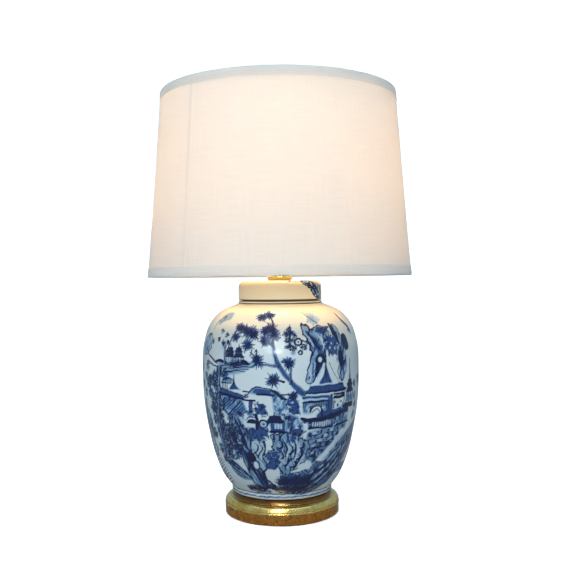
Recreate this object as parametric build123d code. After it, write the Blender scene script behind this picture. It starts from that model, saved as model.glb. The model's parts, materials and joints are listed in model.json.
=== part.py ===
from build123d import *
import math
import os

# Ginger jar table lamp. Millimetres, +Z up, origin at the centre of the felt
# that the lamp stands on. The front of the lamp faces -Y and the cord inlet
# is at the back, +Y. The harp lies in the XZ plane, the switch faces -Y.
# One threaded pipe clamps the stack: base, jar, lid, cap, neck, saddle and
# socket. The shade rests on the harp's swivel, under the finial.

os.makedirs("parts", exist_ok=True)

# ---------------------------------------------------------------- clearances
SLIP = 0.1          # between a piece and the round hole it is put in
RUNNING = 0.05      # radial gap of what turns in a hole, and of a thread
SEAT_GAP = 0.2      # between faces that turn or slide on each other
GLUE = 0.1          # the glue line under the shade's tapes

# --------------------------------------------------------------------- pipe
PIPE_RADIUS = 5.0
PIPE_BORE = 3.4
PIPE_BELOW_NUT = 2.5
PIPE_IN_SOCKET = 7.0
PIPE_CLEARANCE = 0.3

# --------------------------------------------------------- base and its foot
FELT_RADIUS = 85.0
FELT_THICKNESS = 1.5
BASE_RADIUS = 87.6
BASE_EDGE = 1.0             # chamfer round the underside
PLINTH_HEIGHT = 14.6
BEAD_HEIGHT = 2.2
BEAD_PROUD = 0.6
QUIRK_HEIGHT = 1.4
QUIRK_DEPTH = 1.2
OVOLO_HEIGHT = 8.6
OVOLO_DEPTH = 9.8
FILLET_STEP = 0.8
NECK_HEIGHT = 6.7
NECK_HOLLOW = 1.0
NECK_TOP_INSET = 1.6
RECESS_RADIUS = 30.0
RECESS_DEPTH = 14.0

NUT_FLATS = 14.3
NUT_HEIGHT = 4.0
LOCK_WASHER_RADIUS = 8.6
LOCK_WASHER_THICKNESS = 1.2
LOCK_WASHER_TEETH = 10
TOOTH_DEPTH = 1.4
BASE_WASHER_RADIUS = 16.0
BASE_WASHER_THICKNESS = 1.6

GLAND_HEIGHT = 7.5          # of its axis over the underside of the base
GLAND_BODY_RADIUS = 5.0
GLAND_BORE = 3.6
GLAND_BODY_LENGTH = 13.0
GLAND_FLANGE_RADIUS = 6.2
GLAND_FLANGE_THICKNESS = 1.6
GLAND_FLANGE_PROUD = 0.8    # of the plinth's face
GLAND_EDGE = 0.6

# ---------------------------------------------------------------------- jar
GASKET_THICKNESS = 1.0
GASKET_EDGE_INSET = 4.0     # from the foot's outer face
JAR_HEIGHT = 287.0          # foot to the ledge under the lid
JAR_BELLY_RADIUS = 120.8
JAR_WALL = 6.0
JAR_FOOT_RADIUS = 77.0
JAR_FOOT_HEIGHT = 8.0
JAR_FOOT_EDGE = 3.0
JAR_FOOT_RING = 11.0        # thickness of the ring it stands on
JAR_FOOT_RECESS = 4.0
JAR_FLOOR = 8.0
JAR_LEDGE_RADIUS = 64.2
JAR_LEDGE_HEIGHT = 3.4
JAR_NECK_RADIUS = 57.5
JAR_NECK_WALL = 5.0
# The body's outside between foot and ledge: share of the jar's height from
# its foot, and share of the belly's radius.
JAR_OUTLINE = (
    (0.084, 0.737),
    (0.181, 0.838),
    (0.321, 0.922),
    (0.488, 0.984),
    (0.641, 1.000),
    (0.794, 0.979),
    (0.892, 0.901),
    (0.948, 0.789),
)
GROMMET_RADIUS = 8.0
GROMMET_FLANGE_RADIUS = 13.0
GROMMET_FLANGE_THICKNESS = 2.0

# ---------------------------------------------------------------------- lid
LID_RADIUS = 64.3
LID_HEIGHT = 30.0
LID_WALL = 4.6
LID_TOP = 5.0
LID_EDGE_FILLET = 9.0
LID_INNER_FILLET = 5.0
LID_RIM_FILLET = 1.2
LID_SHADOW_GAP = 1.1        # between the lid's skirt and the jar's ledge

# ---------------------------------------------------------- neck over the lid
CAP_RADIUS = 19.5
CAP_BEAD_HEIGHT = 7.0
CAP_HEIGHT = 12.0
NECK_TUBE_RADIUS = 8.5
NECK_TUBE_HEIGHT = 45.5
NECK_COLLAR_RADIUS = 11.0
NECK_COLLAR_HEIGHT = 3.0

# ---------------------------------------------------------- saddle and harp
SADDLE_THICKNESS = 1.6
SADDLE_WIDTH = 12.0
SADDLE_BEND = 4.0
SADDLE_RISE = 8.0           # underside to the shoulders of its arms
TONGUE_LENGTH = 13.0
HARP_HEIGHT = 216.0         # saddle's underside to the seat of the shade
HARP_LEG_X = 34.0
HARP_LEG_LENGTH = 29.0      # straight, above the shoulders
HARP_BOW_X = 57.0
HARP_BOW_LOW = 92.0         # over the saddle's underside
HARP_BOW_HIGH = 150.0
HARP_NECK_X = 16.0
HARP_NECK_DROP = 5.0
HARP_KNEE_RADIUS = 40.0
HARP_ELBOW_RADIUS = 30.0
HARP_SHOULDER_RADIUS = 45.0
HARP_TOP_RADIUS = 12.0
HARP_WIRE_RADIUS = 1.6
EYE_RADIUS = 7.5
EYE_HEIGHT = 6.0
END_RADIUS = 2.6            # of the half-round harp ends and saddle tongues
END_SPLIT = 0.2
END_LIFT = 0.5              # harp end over the saddle's shoulder
SLEEVE_WALL = 0.8
SLEEVE_LENGTH = 14.0

SWIVEL_SHANK = 2.4
SWIVEL_HEAD_RADIUS = 5.0
SWIVEL_HEAD_HEIGHT = 2.2
SWIVEL_SEAT_RADIUS = 9.0
SWIVEL_SEAT_HEIGHT = 2.2
STUD_RADIUS = 3.1
STUD_LENGTH = 11.5

# ------------------------------------------------------------------- socket
HUB_RADIUS = 7.6
HUB_HEIGHT = 8.0
CAP_WALL = 0.7
CAP_FLARE_HEIGHT = 5.4
CAP_RIM_HEIGHT = 6.0
SHELL_RADIUS = 16.2
SHELL_WALL = 0.5
SHELL_LENGTH = 47.0
LINER_WALL = 0.6
LINER_PROUD = 2.0
MOULDING_RADIUS = 14.2
MOULDING_HEIGHT = 24.0
SPIGOT_RADIUS = 9.5
SPIGOT_HEIGHT = 5.4
TERMINAL_FLAT_X = 12.0
TERMINAL_RECESS_HEIGHT = 9.0
TERMINAL_HEAD_RADIUS = 2.6
TERMINAL_HEAD_HEIGHT = 1.4
TERMINAL_SHANK_RADIUS = 1.5
TERMINAL_SHANK_LENGTH = 4.0
TERMINAL_UP = 11.5          # over the moulding's underside
SET_SCREW_RADIUS = 1.7
SET_SCREW_HEAD_RADIUS = 2.8
SET_SCREW_HEAD_HEIGHT = 2.0
SET_SCREW_UP = 4.0          # over the saddle
SCREW_BORE = 13.4           # the free radius inside its thread
SCREW_WALL = 0.4
SCREW_LENGTH = 22.0
SCREW_PITCH = 3.63
SCREW_DEPTH = 0.4
SCREW_FLOOR_HOLE = 8.0
CONTACT_WIDTH = 5.0
CONTACT_THICKNESS = 0.5
CONTACT_RISE = 2.2
CONTACT_LENGTH = 13.0

SWITCH_UP = 17.0            # of its axis over the moulding's underside
SWITCH_SHAFT_RADIUS = 2.0
SWITCH_SHAFT_IN_MOULDING = 6.0
SWITCH_SHAFT_IN_KNOB = 9.0
SWITCH_WINDOW_RADIUS = 3.2
KNOB_GAP = 6.0              # from the socket shell
KNOB_RADIUS = 6.0
KNOB_LENGTH = 13.0
KNOB_EDGE = 1.0
KNOB_FLUTES = 12
KNOB_FLUTE_RADIUS = 0.7

# --------------------------------------------------------------------- bulb
BULB_LENGTH = 107.5
BULB_RADIUS = 30.0
BULB_GLASS = 0.8
BULB_CAP_RADIUS = 12.5      # at the root of its thread
BULB_THREAD = 0.5
BULB_CAP_WALL = 0.3
BULB_CAP_TURNS = 5
BULB_COLLAR_HEIGHT = 3.5
BULB_NECK_RADIUS = 12.0
BULB_NECK_IN_CAP = 3.0
BULB_CHEEK_ANGLE = 35.0     # below the globe's equator, where the neck starts
INSULATOR_HEIGHT = 3.4
INSULATOR_TIP_RADIUS = 6.0
BULB_CONTACT_RADIUS = 4.6
BULB_CONTACT_HEIGHT = 1.2
BULB_CONTACT_GAP = 0.3
STEM_RADIUS = 3.0
STEM_FLARE_RADIUS = 11.0
STEM_FLARE_HEIGHT = 10.0
STEM_LENGTH = 38.0
FILAMENT_HALF_SPAN = 12.0
FILAMENT_RADIUS = 0.6
FILAMENT_SAG = 3.0
LEAD_RADIUS = 0.5

# -------------------------------------------------------------------- shade
SHADE_HEIGHT = 280.0
SHADE_TOP_RADIUS = 181.4
SHADE_BOTTOM_RADIUS = 202.6
PANEL = 1.0
TAPE = 0.5
TAPE_WIDTH = 13.0
TAPE_IN_WIDTH = 11.0
RIM_WIRE_RADIUS = 1.3
SEAM_WIDTH = 10.0
SEAM_PROUD = 0.5
SEAM_ANGLE = 228.0          # degrees round from +X
SPIDER_DROP = 13.6          # of the seat below the shade's top edge
SPIDER_HUB_RADIUS = 13.0
SPIDER_HUB_THICKNESS = 1.6
SPIDER_HOLE = 3.5
SPIDER_WIRE_RADIUS = 1.6
SPIDER_BEND = 9.0
SPIDER_ARMS = 3
SPIDER_FIRST_ARM = 90.0     # degrees round from +X

FINIAL_HEIGHT = 34.0
FINIAL_FOOT_RADIUS = 8.6
FINIAL_FOOT_HEIGHT = 3.0
FINIAL_WAIST_RADIUS = 4.9
FINIAL_WAIST_HEIGHT = 12.5
FINIAL_BALL_RADIUS = 8.0
FINIAL_TIP_RADIUS = 1.6
FINIAL_BORE_DEPTH = 12.0

# ------------------------------------------------- heights, worked out upward
THREAD_HOLE = PIPE_RADIUS + RUNNING
PIPE_HOLE = PIPE_RADIUS + PIPE_CLEARANCE
BASE_BOTTOM = FELT_THICKNESS
PLINTH_TOP = BASE_BOTTOM + PLINTH_HEIGHT
BEAD_TOP = PLINTH_TOP + BEAD_HEIGHT
QUIRK_TOP = BEAD_TOP + QUIRK_HEIGHT
OVOLO_TOP = QUIRK_TOP + OVOLO_HEIGHT
BASE_TOP = OVOLO_TOP + NECK_HEIGHT
RECESS_TOP = BASE_BOTTOM + RECESS_DEPTH
WASHER_BOTTOM = RECESS_TOP - BASE_WASHER_THICKNESS
LOCK_BOTTOM = WASHER_BOTTOM - LOCK_WASHER_THICKNESS
NUT_BOTTOM = LOCK_BOTTOM - NUT_HEIGHT
PIPE_BOTTOM = NUT_BOTTOM - PIPE_BELOW_NUT
GLAND_Z = BASE_BOTTOM + GLAND_HEIGHT
GLAND_SEAT_Y = BASE_RADIUS + GLAND_FLANGE_PROUD - GLAND_FLANGE_THICKNESS
JAR_FOOT = BASE_TOP + GASKET_THICKNESS
JAR_FLOOR_UNDER = JAR_FOOT + JAR_FOOT_RECESS
JAR_FLOOR_TOP = JAR_FLOOR_UNDER + JAR_FLOOR
JAR_SHOULDER = JAR_FOOT + JAR_HEIGHT
JAR_LEDGE = JAR_SHOULDER + JAR_LEDGE_HEIGHT
LID_BOTTOM = JAR_LEDGE + LID_SHADOW_GAP
LID_TOP_Z = LID_BOTTOM + LID_HEIGHT
JAR_RIM = LID_TOP_Z - LID_TOP
CAP_TOP = LID_TOP_Z + CAP_HEIGHT
SADDLE_BOTTOM = CAP_TOP + NECK_TUBE_HEIGHT
SADDLE_TOP = SADDLE_BOTTOM + SADDLE_THICKNESS
SADDLE_SHOULDER = SADDLE_BOTTOM + SADDLE_RISE
TONGUE_TOP = SADDLE_SHOULDER + TONGUE_LENGTH
SHADE_SEAT = SADDLE_BOTTOM + HARP_HEIGHT
SEAT_UNDER = SHADE_SEAT - SWIVEL_SEAT_HEIGHT
EYE_TOP = SEAT_UNDER - SEAT_GAP
EYE_BOTTOM = EYE_TOP - EYE_HEIGHT
EYE_MIDDLE = (EYE_TOP + EYE_BOTTOM) / 2
HEAD_TOP = EYE_BOTTOM - SEAT_GAP
PIPE_TOP = SADDLE_TOP + PIPE_IN_SOCKET
HUB_TOP = SADDLE_TOP + HUB_HEIGHT
MOULDING_BOTTOM = HUB_TOP + CAP_WALL
MOULDING_TOP = MOULDING_BOTTOM + MOULDING_HEIGHT
SHELL_BOTTOM = HUB_TOP + CAP_FLARE_HEIGHT
CAP_RIM = SHELL_BOTTOM + CAP_RIM_HEIGHT
SHELL_TOP = SHELL_BOTTOM + SHELL_LENGTH
LINER_TOP = SHELL_TOP + LINER_PROUD
LINER_RADIUS = SHELL_RADIUS - SHELL_WALL - SLIP
SWITCH_Z = MOULDING_BOTTOM + SWITCH_UP
KNOB_FACE = SHELL_RADIUS + KNOB_GAP
CONTACT_TOP = MOULDING_TOP + CONTACT_THICKNESS + CONTACT_RISE
BULB_BOTTOM = CONTACT_TOP + BULB_CONTACT_GAP
INSULATOR_BOTTOM = BULB_BOTTOM + BULB_CONTACT_HEIGHT
THREAD_BOTTOM = INSULATOR_BOTTOM + INSULATOR_HEIGHT
THREAD_TOP = THREAD_BOTTOM + BULB_CAP_TURNS * SCREW_PITCH
BULB_CAP_TOP = THREAD_TOP + BULB_COLLAR_HEIGHT
BULB_TOP = BULB_BOTTOM + BULB_LENGTH
BULB_MIDDLE = BULB_TOP - BULB_RADIUS
GLASS_BOTTOM = BULB_CAP_TOP - BULB_NECK_IN_CAP
STEM_TOP = GLASS_BOTTOM + STEM_LENGTH
SHADE_TOP = SHADE_SEAT + SPIDER_DROP
SHADE_BOTTOM = SHADE_TOP - SHADE_HEIGHT
SPIDER_TOP = SHADE_SEAT + SPIDER_HUB_THICKNESS
FINIAL_BOTTOM = SPIDER_TOP + SEAT_GAP
SLEEVE_BORE = END_RADIUS + SEAT_GAP


def turned(*lines):
    """A solid of revolution about Z from the lines of half its section."""
    return revolve(Plane.XZ * make_face(Curve() + list(lines)), Axis.Z, 360)


def turned_points(*points):
    """A solid of revolution about Z from its section's corners."""
    return turned(Polyline(*points, close=True))


def ring(inner, outer, low, high):
    """A tube or washer about Z."""
    return turned_points((inner, low), (outer, low), (outer, high), (inner, high))


def rod(radius, start, end):
    """A round bar from one point to another."""
    direction = Vector(*end) - Vector(*start)
    return extrude(Plane(start, z_dir=direction) * Circle(radius), direction.length)


def wire(radius, path):
    """A round wire along a path."""
    return sweep(Plane(path @ 0, z_dir=path % 0) * Circle(radius), path=path)


def bulge(start, end, centre):
    """The arc between two points that turns round a corner, like a quarter
    ellipse about the centre."""
    share = math.sqrt(0.5)
    middle = tuple(c + share * (s - c) + share * (e - c) for s, e, c in zip(start, end, centre))
    return ThreePointArc(start, middle, end)


# --------------------------------------------------------------- base pieces
def felt_pad():
    return extrude(Circle(FELT_RADIUS), FELT_THICKNESS)


def turned_base():
    quirk = BASE_RADIUS - QUIRK_DEPTH
    step = BASE_RADIUS - OVOLO_DEPTH
    neck = step - FILLET_STEP
    top = neck - NECK_TOP_INSET
    hollow = ((neck + top) / 2 - NECK_HOLLOW, (OVOLO_TOP + BASE_TOP) / 2)
    bead = (BASE_RADIUS + BEAD_PROUD, (PLINTH_TOP + BEAD_TOP) / 2)
    body = turned(
        Polyline(
            (0, BASE_TOP), (0, BASE_BOTTOM), (BASE_RADIUS - BASE_EDGE, BASE_BOTTOM),
            (BASE_RADIUS, BASE_BOTTOM + BASE_EDGE), (BASE_RADIUS, PLINTH_TOP),
        ),
        ThreePointArc((BASE_RADIUS, PLINTH_TOP), bead, (BASE_RADIUS, BEAD_TOP)),
        Polyline((BASE_RADIUS, BEAD_TOP), (quirk, BEAD_TOP), (quirk, QUIRK_TOP), (BASE_RADIUS, QUIRK_TOP)),
        bulge((BASE_RADIUS, QUIRK_TOP), (step, OVOLO_TOP), (step, QUIRK_TOP)),
        Line((step, OVOLO_TOP), (neck, OVOLO_TOP)),
        ThreePointArc((neck, OVOLO_TOP), hollow, (top, BASE_TOP)),
        Line((top, BASE_TOP), (0, BASE_TOP)),
    )
    body -= ring(0, RECESS_RADIUS, 0, RECESS_TOP)
    body -= ring(0, PIPE_HOLE, 0, BASE_TOP + 1)
    body -= rod(GLAND_BODY_RADIUS + SLIP, (0, 0, GLAND_Z), (0, BASE_RADIUS + 1, GLAND_Z))
    spot_face = (0, GLAND_SEAT_Y, GLAND_Z)
    return body - rod(GLAND_FLANGE_RADIUS + SLIP, spot_face, (0, BASE_RADIUS + 1, GLAND_Z))


def base_washer():
    return ring(PIPE_HOLE, BASE_WASHER_RADIUS, WASHER_BOTTOM, RECESS_TOP)


def lock_washer():
    washer = ring(PIPE_HOLE, LOCK_WASHER_RADIUS, LOCK_BOTTOM, WASHER_BOTTOM)
    notch_width = math.pi * LOCK_WASHER_RADIUS / LOCK_WASHER_TEETH
    notch = Pos(LOCK_WASHER_RADIUS, 0, LOCK_BOTTOM) * Box(2 * TOOTH_DEPTH, notch_width, 2 * NUT_HEIGHT)
    for i in range(LOCK_WASHER_TEETH):
        washer -= Rot(0, 0, i * 360 / LOCK_WASHER_TEETH) * notch
    return washer


def base_nut():
    hexagon = RegularPolygon(NUT_FLATS / 2, 6, major_radius=False)
    nut = extrude(Plane.XY.offset(NUT_BOTTOM) * hexagon, NUT_HEIGHT)
    return nut - ring(0, THREAD_HOLE, NUT_BOTTOM - 1, LOCK_BOTTOM + 1)


def threaded_pipe():
    return ring(PIPE_BORE, PIPE_RADIUS, PIPE_BOTTOM, PIPE_TOP)


def cord_gland():
    inner_y = GLAND_SEAT_Y - GLAND_BODY_LENGTH
    outer_y = GLAND_SEAT_Y + GLAND_FLANGE_THICKNESS
    gland = rod(GLAND_BODY_RADIUS, (0, inner_y, GLAND_Z), (0, GLAND_SEAT_Y, GLAND_Z))
    gland += rod(GLAND_FLANGE_RADIUS, (0, GLAND_SEAT_Y, GLAND_Z), (0, outer_y, GLAND_Z))
    gland = fillet(gland.edges().filter_by(GeomType.CIRCLE).sort_by(Axis.Y)[-1], GLAND_EDGE)
    return gland - rod(GLAND_BORE, (0, inner_y - 1, GLAND_Z), (0, outer_y + 1, GLAND_Z))


# ---------------------------------------------------------------- jar pieces
def jar_gasket():
    return ring(
        JAR_FOOT_RADIUS - JAR_FOOT_RING, JAR_FOOT_RADIUS - GASKET_EDGE_INSET, BASE_TOP, JAR_FOOT
    )


def jar_side():
    """The outside of the jar from the top of its foot ring to the ledge."""
    foot = (JAR_FOOT_RADIUS, JAR_FOOT + JAR_FOOT_HEIGHT)
    points = [(JAR_BELLY_RADIUS * r, JAR_FOOT + JAR_HEIGHT * h) for h, r in JAR_OUTLINE]
    return Spline(foot, *points, (JAR_LEDGE_RADIUS, JAR_SHOULDER))


def jar_inside(side):
    """The inside of the jar's wall, from the floor to the neck's bore."""
    floor_share = (JAR_FLOOR_TOP - JAR_FOOT) / JAR_HEIGHT
    points = []
    for i in range(1, 10):
        along = side % (i / 10)
        spot = side @ (i / 10)
        points.append((spot.X - JAR_WALL * along.Y, spot.Y + JAR_WALL * along.X))
    first = (JAR_FOOT_RADIUS * (1 - floor_share), JAR_FLOOR_TOP)
    last = (JAR_NECK_RADIUS - JAR_NECK_WALL, JAR_SHOULDER)
    return Spline(first, *points, last)


def jar_body():
    side = jar_side()
    inside = jar_inside(side)
    foot_inner = JAR_FOOT_RADIUS - JAR_FOOT_RING
    bore = JAR_NECK_RADIUS - JAR_NECK_WALL
    hole = GROMMET_RADIUS + SLIP
    jar = turned(
        Polyline(
            (hole, JAR_FLOOR_UNDER), (foot_inner, JAR_FLOOR_UNDER), (foot_inner, JAR_FOOT),
            (JAR_FOOT_RADIUS - JAR_FOOT_EDGE, JAR_FOOT),
        ),
        bulge(
            (JAR_FOOT_RADIUS - JAR_FOOT_EDGE, JAR_FOOT),
            (JAR_FOOT_RADIUS, JAR_FOOT + JAR_FOOT_EDGE),
            (JAR_FOOT_RADIUS - JAR_FOOT_EDGE, JAR_FOOT + JAR_FOOT_EDGE),
        ),
        Line((JAR_FOOT_RADIUS, JAR_FOOT + JAR_FOOT_EDGE), (JAR_FOOT_RADIUS, JAR_FOOT + JAR_FOOT_HEIGHT)),
        side,
        Polyline(
            (JAR_LEDGE_RADIUS, JAR_SHOULDER), (JAR_LEDGE_RADIUS, JAR_LEDGE), (JAR_NECK_RADIUS, JAR_LEDGE),
            (JAR_NECK_RADIUS, JAR_RIM), (bore, JAR_RIM), (bore, JAR_SHOULDER),
        ),
        inside,
        Polyline(inside @ 0, (hole, JAR_FLOOR_TOP), (hole, JAR_FLOOR_UNDER)),
    )
    return jar


def pipe_grommet():
    flange_bottom = JAR_FLOOR_UNDER - GROMMET_FLANGE_THICKNESS
    return turned_points(
        (PIPE_HOLE, flange_bottom), (GROMMET_FLANGE_RADIUS, flange_bottom),
        (GROMMET_FLANGE_RADIUS, JAR_FLOOR_UNDER), (GROMMET_RADIUS, JAR_FLOOR_UNDER),
        (GROMMET_RADIUS, JAR_FLOOR_TOP), (PIPE_HOLE, JAR_FLOOR_TOP),
    )


def jar_lid():
    inner = LID_RADIUS - LID_WALL
    lid = ring(0, LID_RADIUS, LID_BOTTOM, LID_TOP_Z)
    lid = fillet(lid.edges().sort_by(Axis.Z)[-1], LID_EDGE_FILLET)
    hollow = ring(0, inner, LID_BOTTOM - LID_HEIGHT, JAR_RIM)
    hollow = fillet(hollow.edges().sort_by(Axis.Z)[-1], min(LID_INNER_FILLET, (inner - JAR_NECK_RADIUS) / 2))
    lid -= hollow
    skirt = [e for e in lid.edges().filter_by(GeomType.CIRCLE) if abs(e.center().Z - LID_BOTTOM) < SLIP]
    lid = fillet(skirt, LID_RIM_FILLET)
    return lid - ring(0, PIPE_HOLE, JAR_RIM - 1, LID_TOP_Z + 1)


# ---------------------------------------------------- neck, saddle and harp
def lid_cap():
    """A turned cap: a full bead, then a hollow up to the neck tube's collar."""
    foot = CAP_RADIUS - CAP_BEAD_HEIGHT / 2
    bead_top = LID_TOP_Z + CAP_BEAD_HEIGHT
    bead_middle = (CAP_RADIUS, LID_TOP_Z + CAP_BEAD_HEIGHT / 2)
    return turned(
        Line((PIPE_HOLE, LID_TOP_Z), (foot, LID_TOP_Z)),
        ThreePointArc((foot, LID_TOP_Z), bead_middle, (foot, bead_top)),
        bulge((foot, bead_top), (NECK_COLLAR_RADIUS, CAP_TOP), (foot, CAP_TOP)),
        Polyline((NECK_COLLAR_RADIUS, CAP_TOP), (PIPE_HOLE, CAP_TOP), (PIPE_HOLE, LID_TOP_Z)),
    )


def neck_tube():
    tube = ring(PIPE_HOLE, NECK_TUBE_RADIUS, CAP_TOP, SADDLE_BOTTOM)
    for low in (CAP_TOP, SADDLE_BOTTOM - NECK_COLLAR_HEIGHT):
        high = low + NECK_COLLAR_HEIGHT
        edge = NECK_COLLAR_RADIUS - NECK_COLLAR_HEIGHT / 2
        middle = (NECK_COLLAR_RADIUS, (low + high) / 2)
        tube += turned(
            Polyline((edge, low), (PIPE_HOLE, low), (PIPE_HOLE, high), (edge, high)),
            ThreePointArc((edge, high), middle, (edge, low)),
        )
    return tube


def half_round(side, outward, low, high):
    """One half of the round bar inside a sleeve, on one side of its split."""
    bar = extrude(Pos(side * HARP_LEG_X, 0, low) * Circle(END_RADIUS), high - low)
    shift = END_RADIUS + END_SPLIT / 2
    keep = Box(2 * END_RADIUS, 2 * END_RADIUS + 1, 4 * (high - low))
    return bar & Pos(side * (HARP_LEG_X + outward * shift), 0, low) * keep


def harp_saddle():
    middle = SADDLE_BOTTOM + SADDLE_THICKNESS / 2
    arm = HARP_LEG_X
    path = FilletPolyline(
        (-arm, 0, SADDLE_SHOULDER), (-arm, 0, middle), (arm, 0, middle), (arm, 0, SADDLE_SHOULDER),
        radius=SADDLE_BEND,
    )
    section = Plane(path @ 0, x_dir=(0, 1, 0), z_dir=path % 0) * Rectangle(SADDLE_WIDTH, SADDLE_THICKNESS)
    strip = sweep(section, path=path)
    for side in (-1, 1):
        strip += half_round(side, -1, SADDLE_SHOULDER - END_RADIUS, TONGUE_TOP)
    return strip - ring(0, PIPE_HOLE, SADDLE_BOTTOM - 1, SADDLE_TOP + 1)


def harp_sleeve(side):
    low = SADDLE_SHOULDER
    tube = ring(SLEEVE_BORE, SLEEVE_BORE + SLEEVE_WALL, low, low + SLEEVE_LENGTH)
    return Pos(side * HARP_LEG_X, 0, 0) * tube


def harp_wire(side):
    """One side of the bow, from the harp's end to its eye."""
    leg_low = TONGUE_TOP + END_LIFT
    leg_high = SADDLE_SHOULDER + HARP_LEG_LENGTH
    bow_low = SADDLE_BOTTOM + HARP_BOW_LOW
    bow_high = SADDLE_BOTTOM + HARP_BOW_HIGH
    path = FilletPolyline(
        (side * HARP_LEG_X, 0, leg_low), (side * HARP_LEG_X, 0, leg_high),
        (side * HARP_BOW_X, 0, bow_low), (side * HARP_BOW_X, 0, bow_high),
        (side * HARP_NECK_X, 0, EYE_MIDDLE - HARP_NECK_DROP),
        (side * (SWIVEL_SHANK + 1.5), 0, EYE_MIDDLE),
        radius=[HARP_KNEE_RADIUS, HARP_ELBOW_RADIUS, HARP_SHOULDER_RADIUS, HARP_TOP_RADIUS],
    )
    return wire(HARP_WIRE_RADIUS, path)


def harp():
    eye = ring(0, EYE_RADIUS, EYE_BOTTOM, EYE_TOP)
    eye = fillet(eye.edges().filter_by(GeomType.CIRCLE), HARP_WIRE_RADIUS / 2)
    bow = eye
    for side in (-1, 1):
        bow += harp_wire(side)
        bow += half_round(side, 1, SADDLE_SHOULDER + END_LIFT, TONGUE_TOP + 2 * END_LIFT)
    return bow - ring(0, SWIVEL_SHANK + RUNNING, EYE_BOTTOM - 1, EYE_TOP + 1)


def harp_swivel():
    return turned_points(
        (0, HEAD_TOP - SWIVEL_HEAD_HEIGHT), (SWIVEL_HEAD_RADIUS, HEAD_TOP - SWIVEL_HEAD_HEIGHT),
        (SWIVEL_HEAD_RADIUS, HEAD_TOP), (SWIVEL_SHANK, HEAD_TOP), (SWIVEL_SHANK, SEAT_UNDER),
        (SWIVEL_SEAT_RADIUS, SEAT_UNDER), (SWIVEL_SEAT_RADIUS, SHADE_SEAT), (STUD_RADIUS, SHADE_SEAT),
        (STUD_RADIUS, SHADE_SEAT + STUD_LENGTH), (0, SHADE_SEAT + STUD_LENGTH),
    )


def finial():
    waist_z = FINIAL_BOTTOM + FINIAL_WAIST_HEIGHT
    foot_z = FINIAL_BOTTOM + FINIAL_FOOT_HEIGHT
    top = FINIAL_BOTTOM + FINIAL_HEIGHT
    ball_z = top - 1.5 * FINIAL_TIP_RADIUS - FINIAL_BALL_RADIUS
    hollow = (FINIAL_WAIST_RADIUS + 0.2 * (FINIAL_FOOT_RADIUS - FINIAL_WAIST_RADIUS), (foot_z + waist_z) / 2)
    body = turned(
        Polyline(
            (FINIAL_WAIST_RADIUS, waist_z), (FINIAL_WAIST_RADIUS, ball_z), (0, ball_z),
            (0, FINIAL_BOTTOM), (FINIAL_FOOT_RADIUS, FINIAL_BOTTOM), (FINIAL_FOOT_RADIUS, foot_z),
        ),
        ThreePointArc((FINIAL_FOOT_RADIUS, foot_z), hollow, (FINIAL_WAIST_RADIUS, waist_z)),
    )
    body += Pos(0, 0, ball_z) * Sphere(FINIAL_BALL_RADIUS)
    body += Pos(0, 0, top - FINIAL_TIP_RADIUS) * Sphere(FINIAL_TIP_RADIUS)
    return body - ring(0, STUD_RADIUS + RUNNING, FINIAL_BOTTOM - 1, FINIAL_BOTTOM + FINIAL_BORE_DEPTH)


# -------------------------------------------------------------------- socket
def socket_cap():
    inner = SHELL_RADIUS + SLIP
    outer = inner + CAP_WALL
    flare = SPIGOT_RADIUS + SLIP
    shank = SET_SCREW_RADIUS + SLIP
    cap = turned(
        Polyline((HUB_RADIUS, HUB_TOP), (HUB_RADIUS, SADDLE_TOP), (THREAD_HOLE, SADDLE_TOP),
                 (THREAD_HOLE, MOULDING_BOTTOM), (flare, MOULDING_BOTTOM)),
        bulge((flare, MOULDING_BOTTOM), (inner, SHELL_BOTTOM), (flare, SHELL_BOTTOM)),
        Polyline((inner, SHELL_BOTTOM), (inner, CAP_RIM), (outer, CAP_RIM), (outer, SHELL_BOTTOM)),
        bulge((outer, SHELL_BOTTOM), (flare, HUB_TOP), (flare, SHELL_BOTTOM)),
        Line((flare, HUB_TOP), (HUB_RADIUS, HUB_TOP)),
    )
    screw_z = SADDLE_TOP + SET_SCREW_UP
    return cap - rod(shank, (0, 0, screw_z), (0, HUB_RADIUS + 1, screw_z))


def socket_set_screw():
    z = SADDLE_TOP + SET_SCREW_UP
    head_y = HUB_RADIUS + SEAT_GAP
    tip_y = PIPE_RADIUS + SEAT_GAP
    end_y = head_y + SET_SCREW_HEAD_HEIGHT
    screw = rod(SET_SCREW_RADIUS, (0, tip_y, z), (0, end_y, z))
    screw += rod(SET_SCREW_HEAD_RADIUS, (0, head_y, z), (0, end_y, z))
    slot_depth = SET_SCREW_HEAD_HEIGHT / 2
    return screw - Pos(0, end_y, z) * Box(2 * SET_SCREW_HEAD_RADIUS + 1, 2 * slot_depth, CONTACT_THICKNESS)


def terminal_place(side):
    """The plane of a terminal screw's seat on the moulding's flat."""
    spot = (side * TERMINAL_FLAT_X, 0, MOULDING_BOTTOM + TERMINAL_UP)
    return Plane(spot, x_dir=(0, 1, 0), z_dir=(side, 0, 0))


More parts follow.
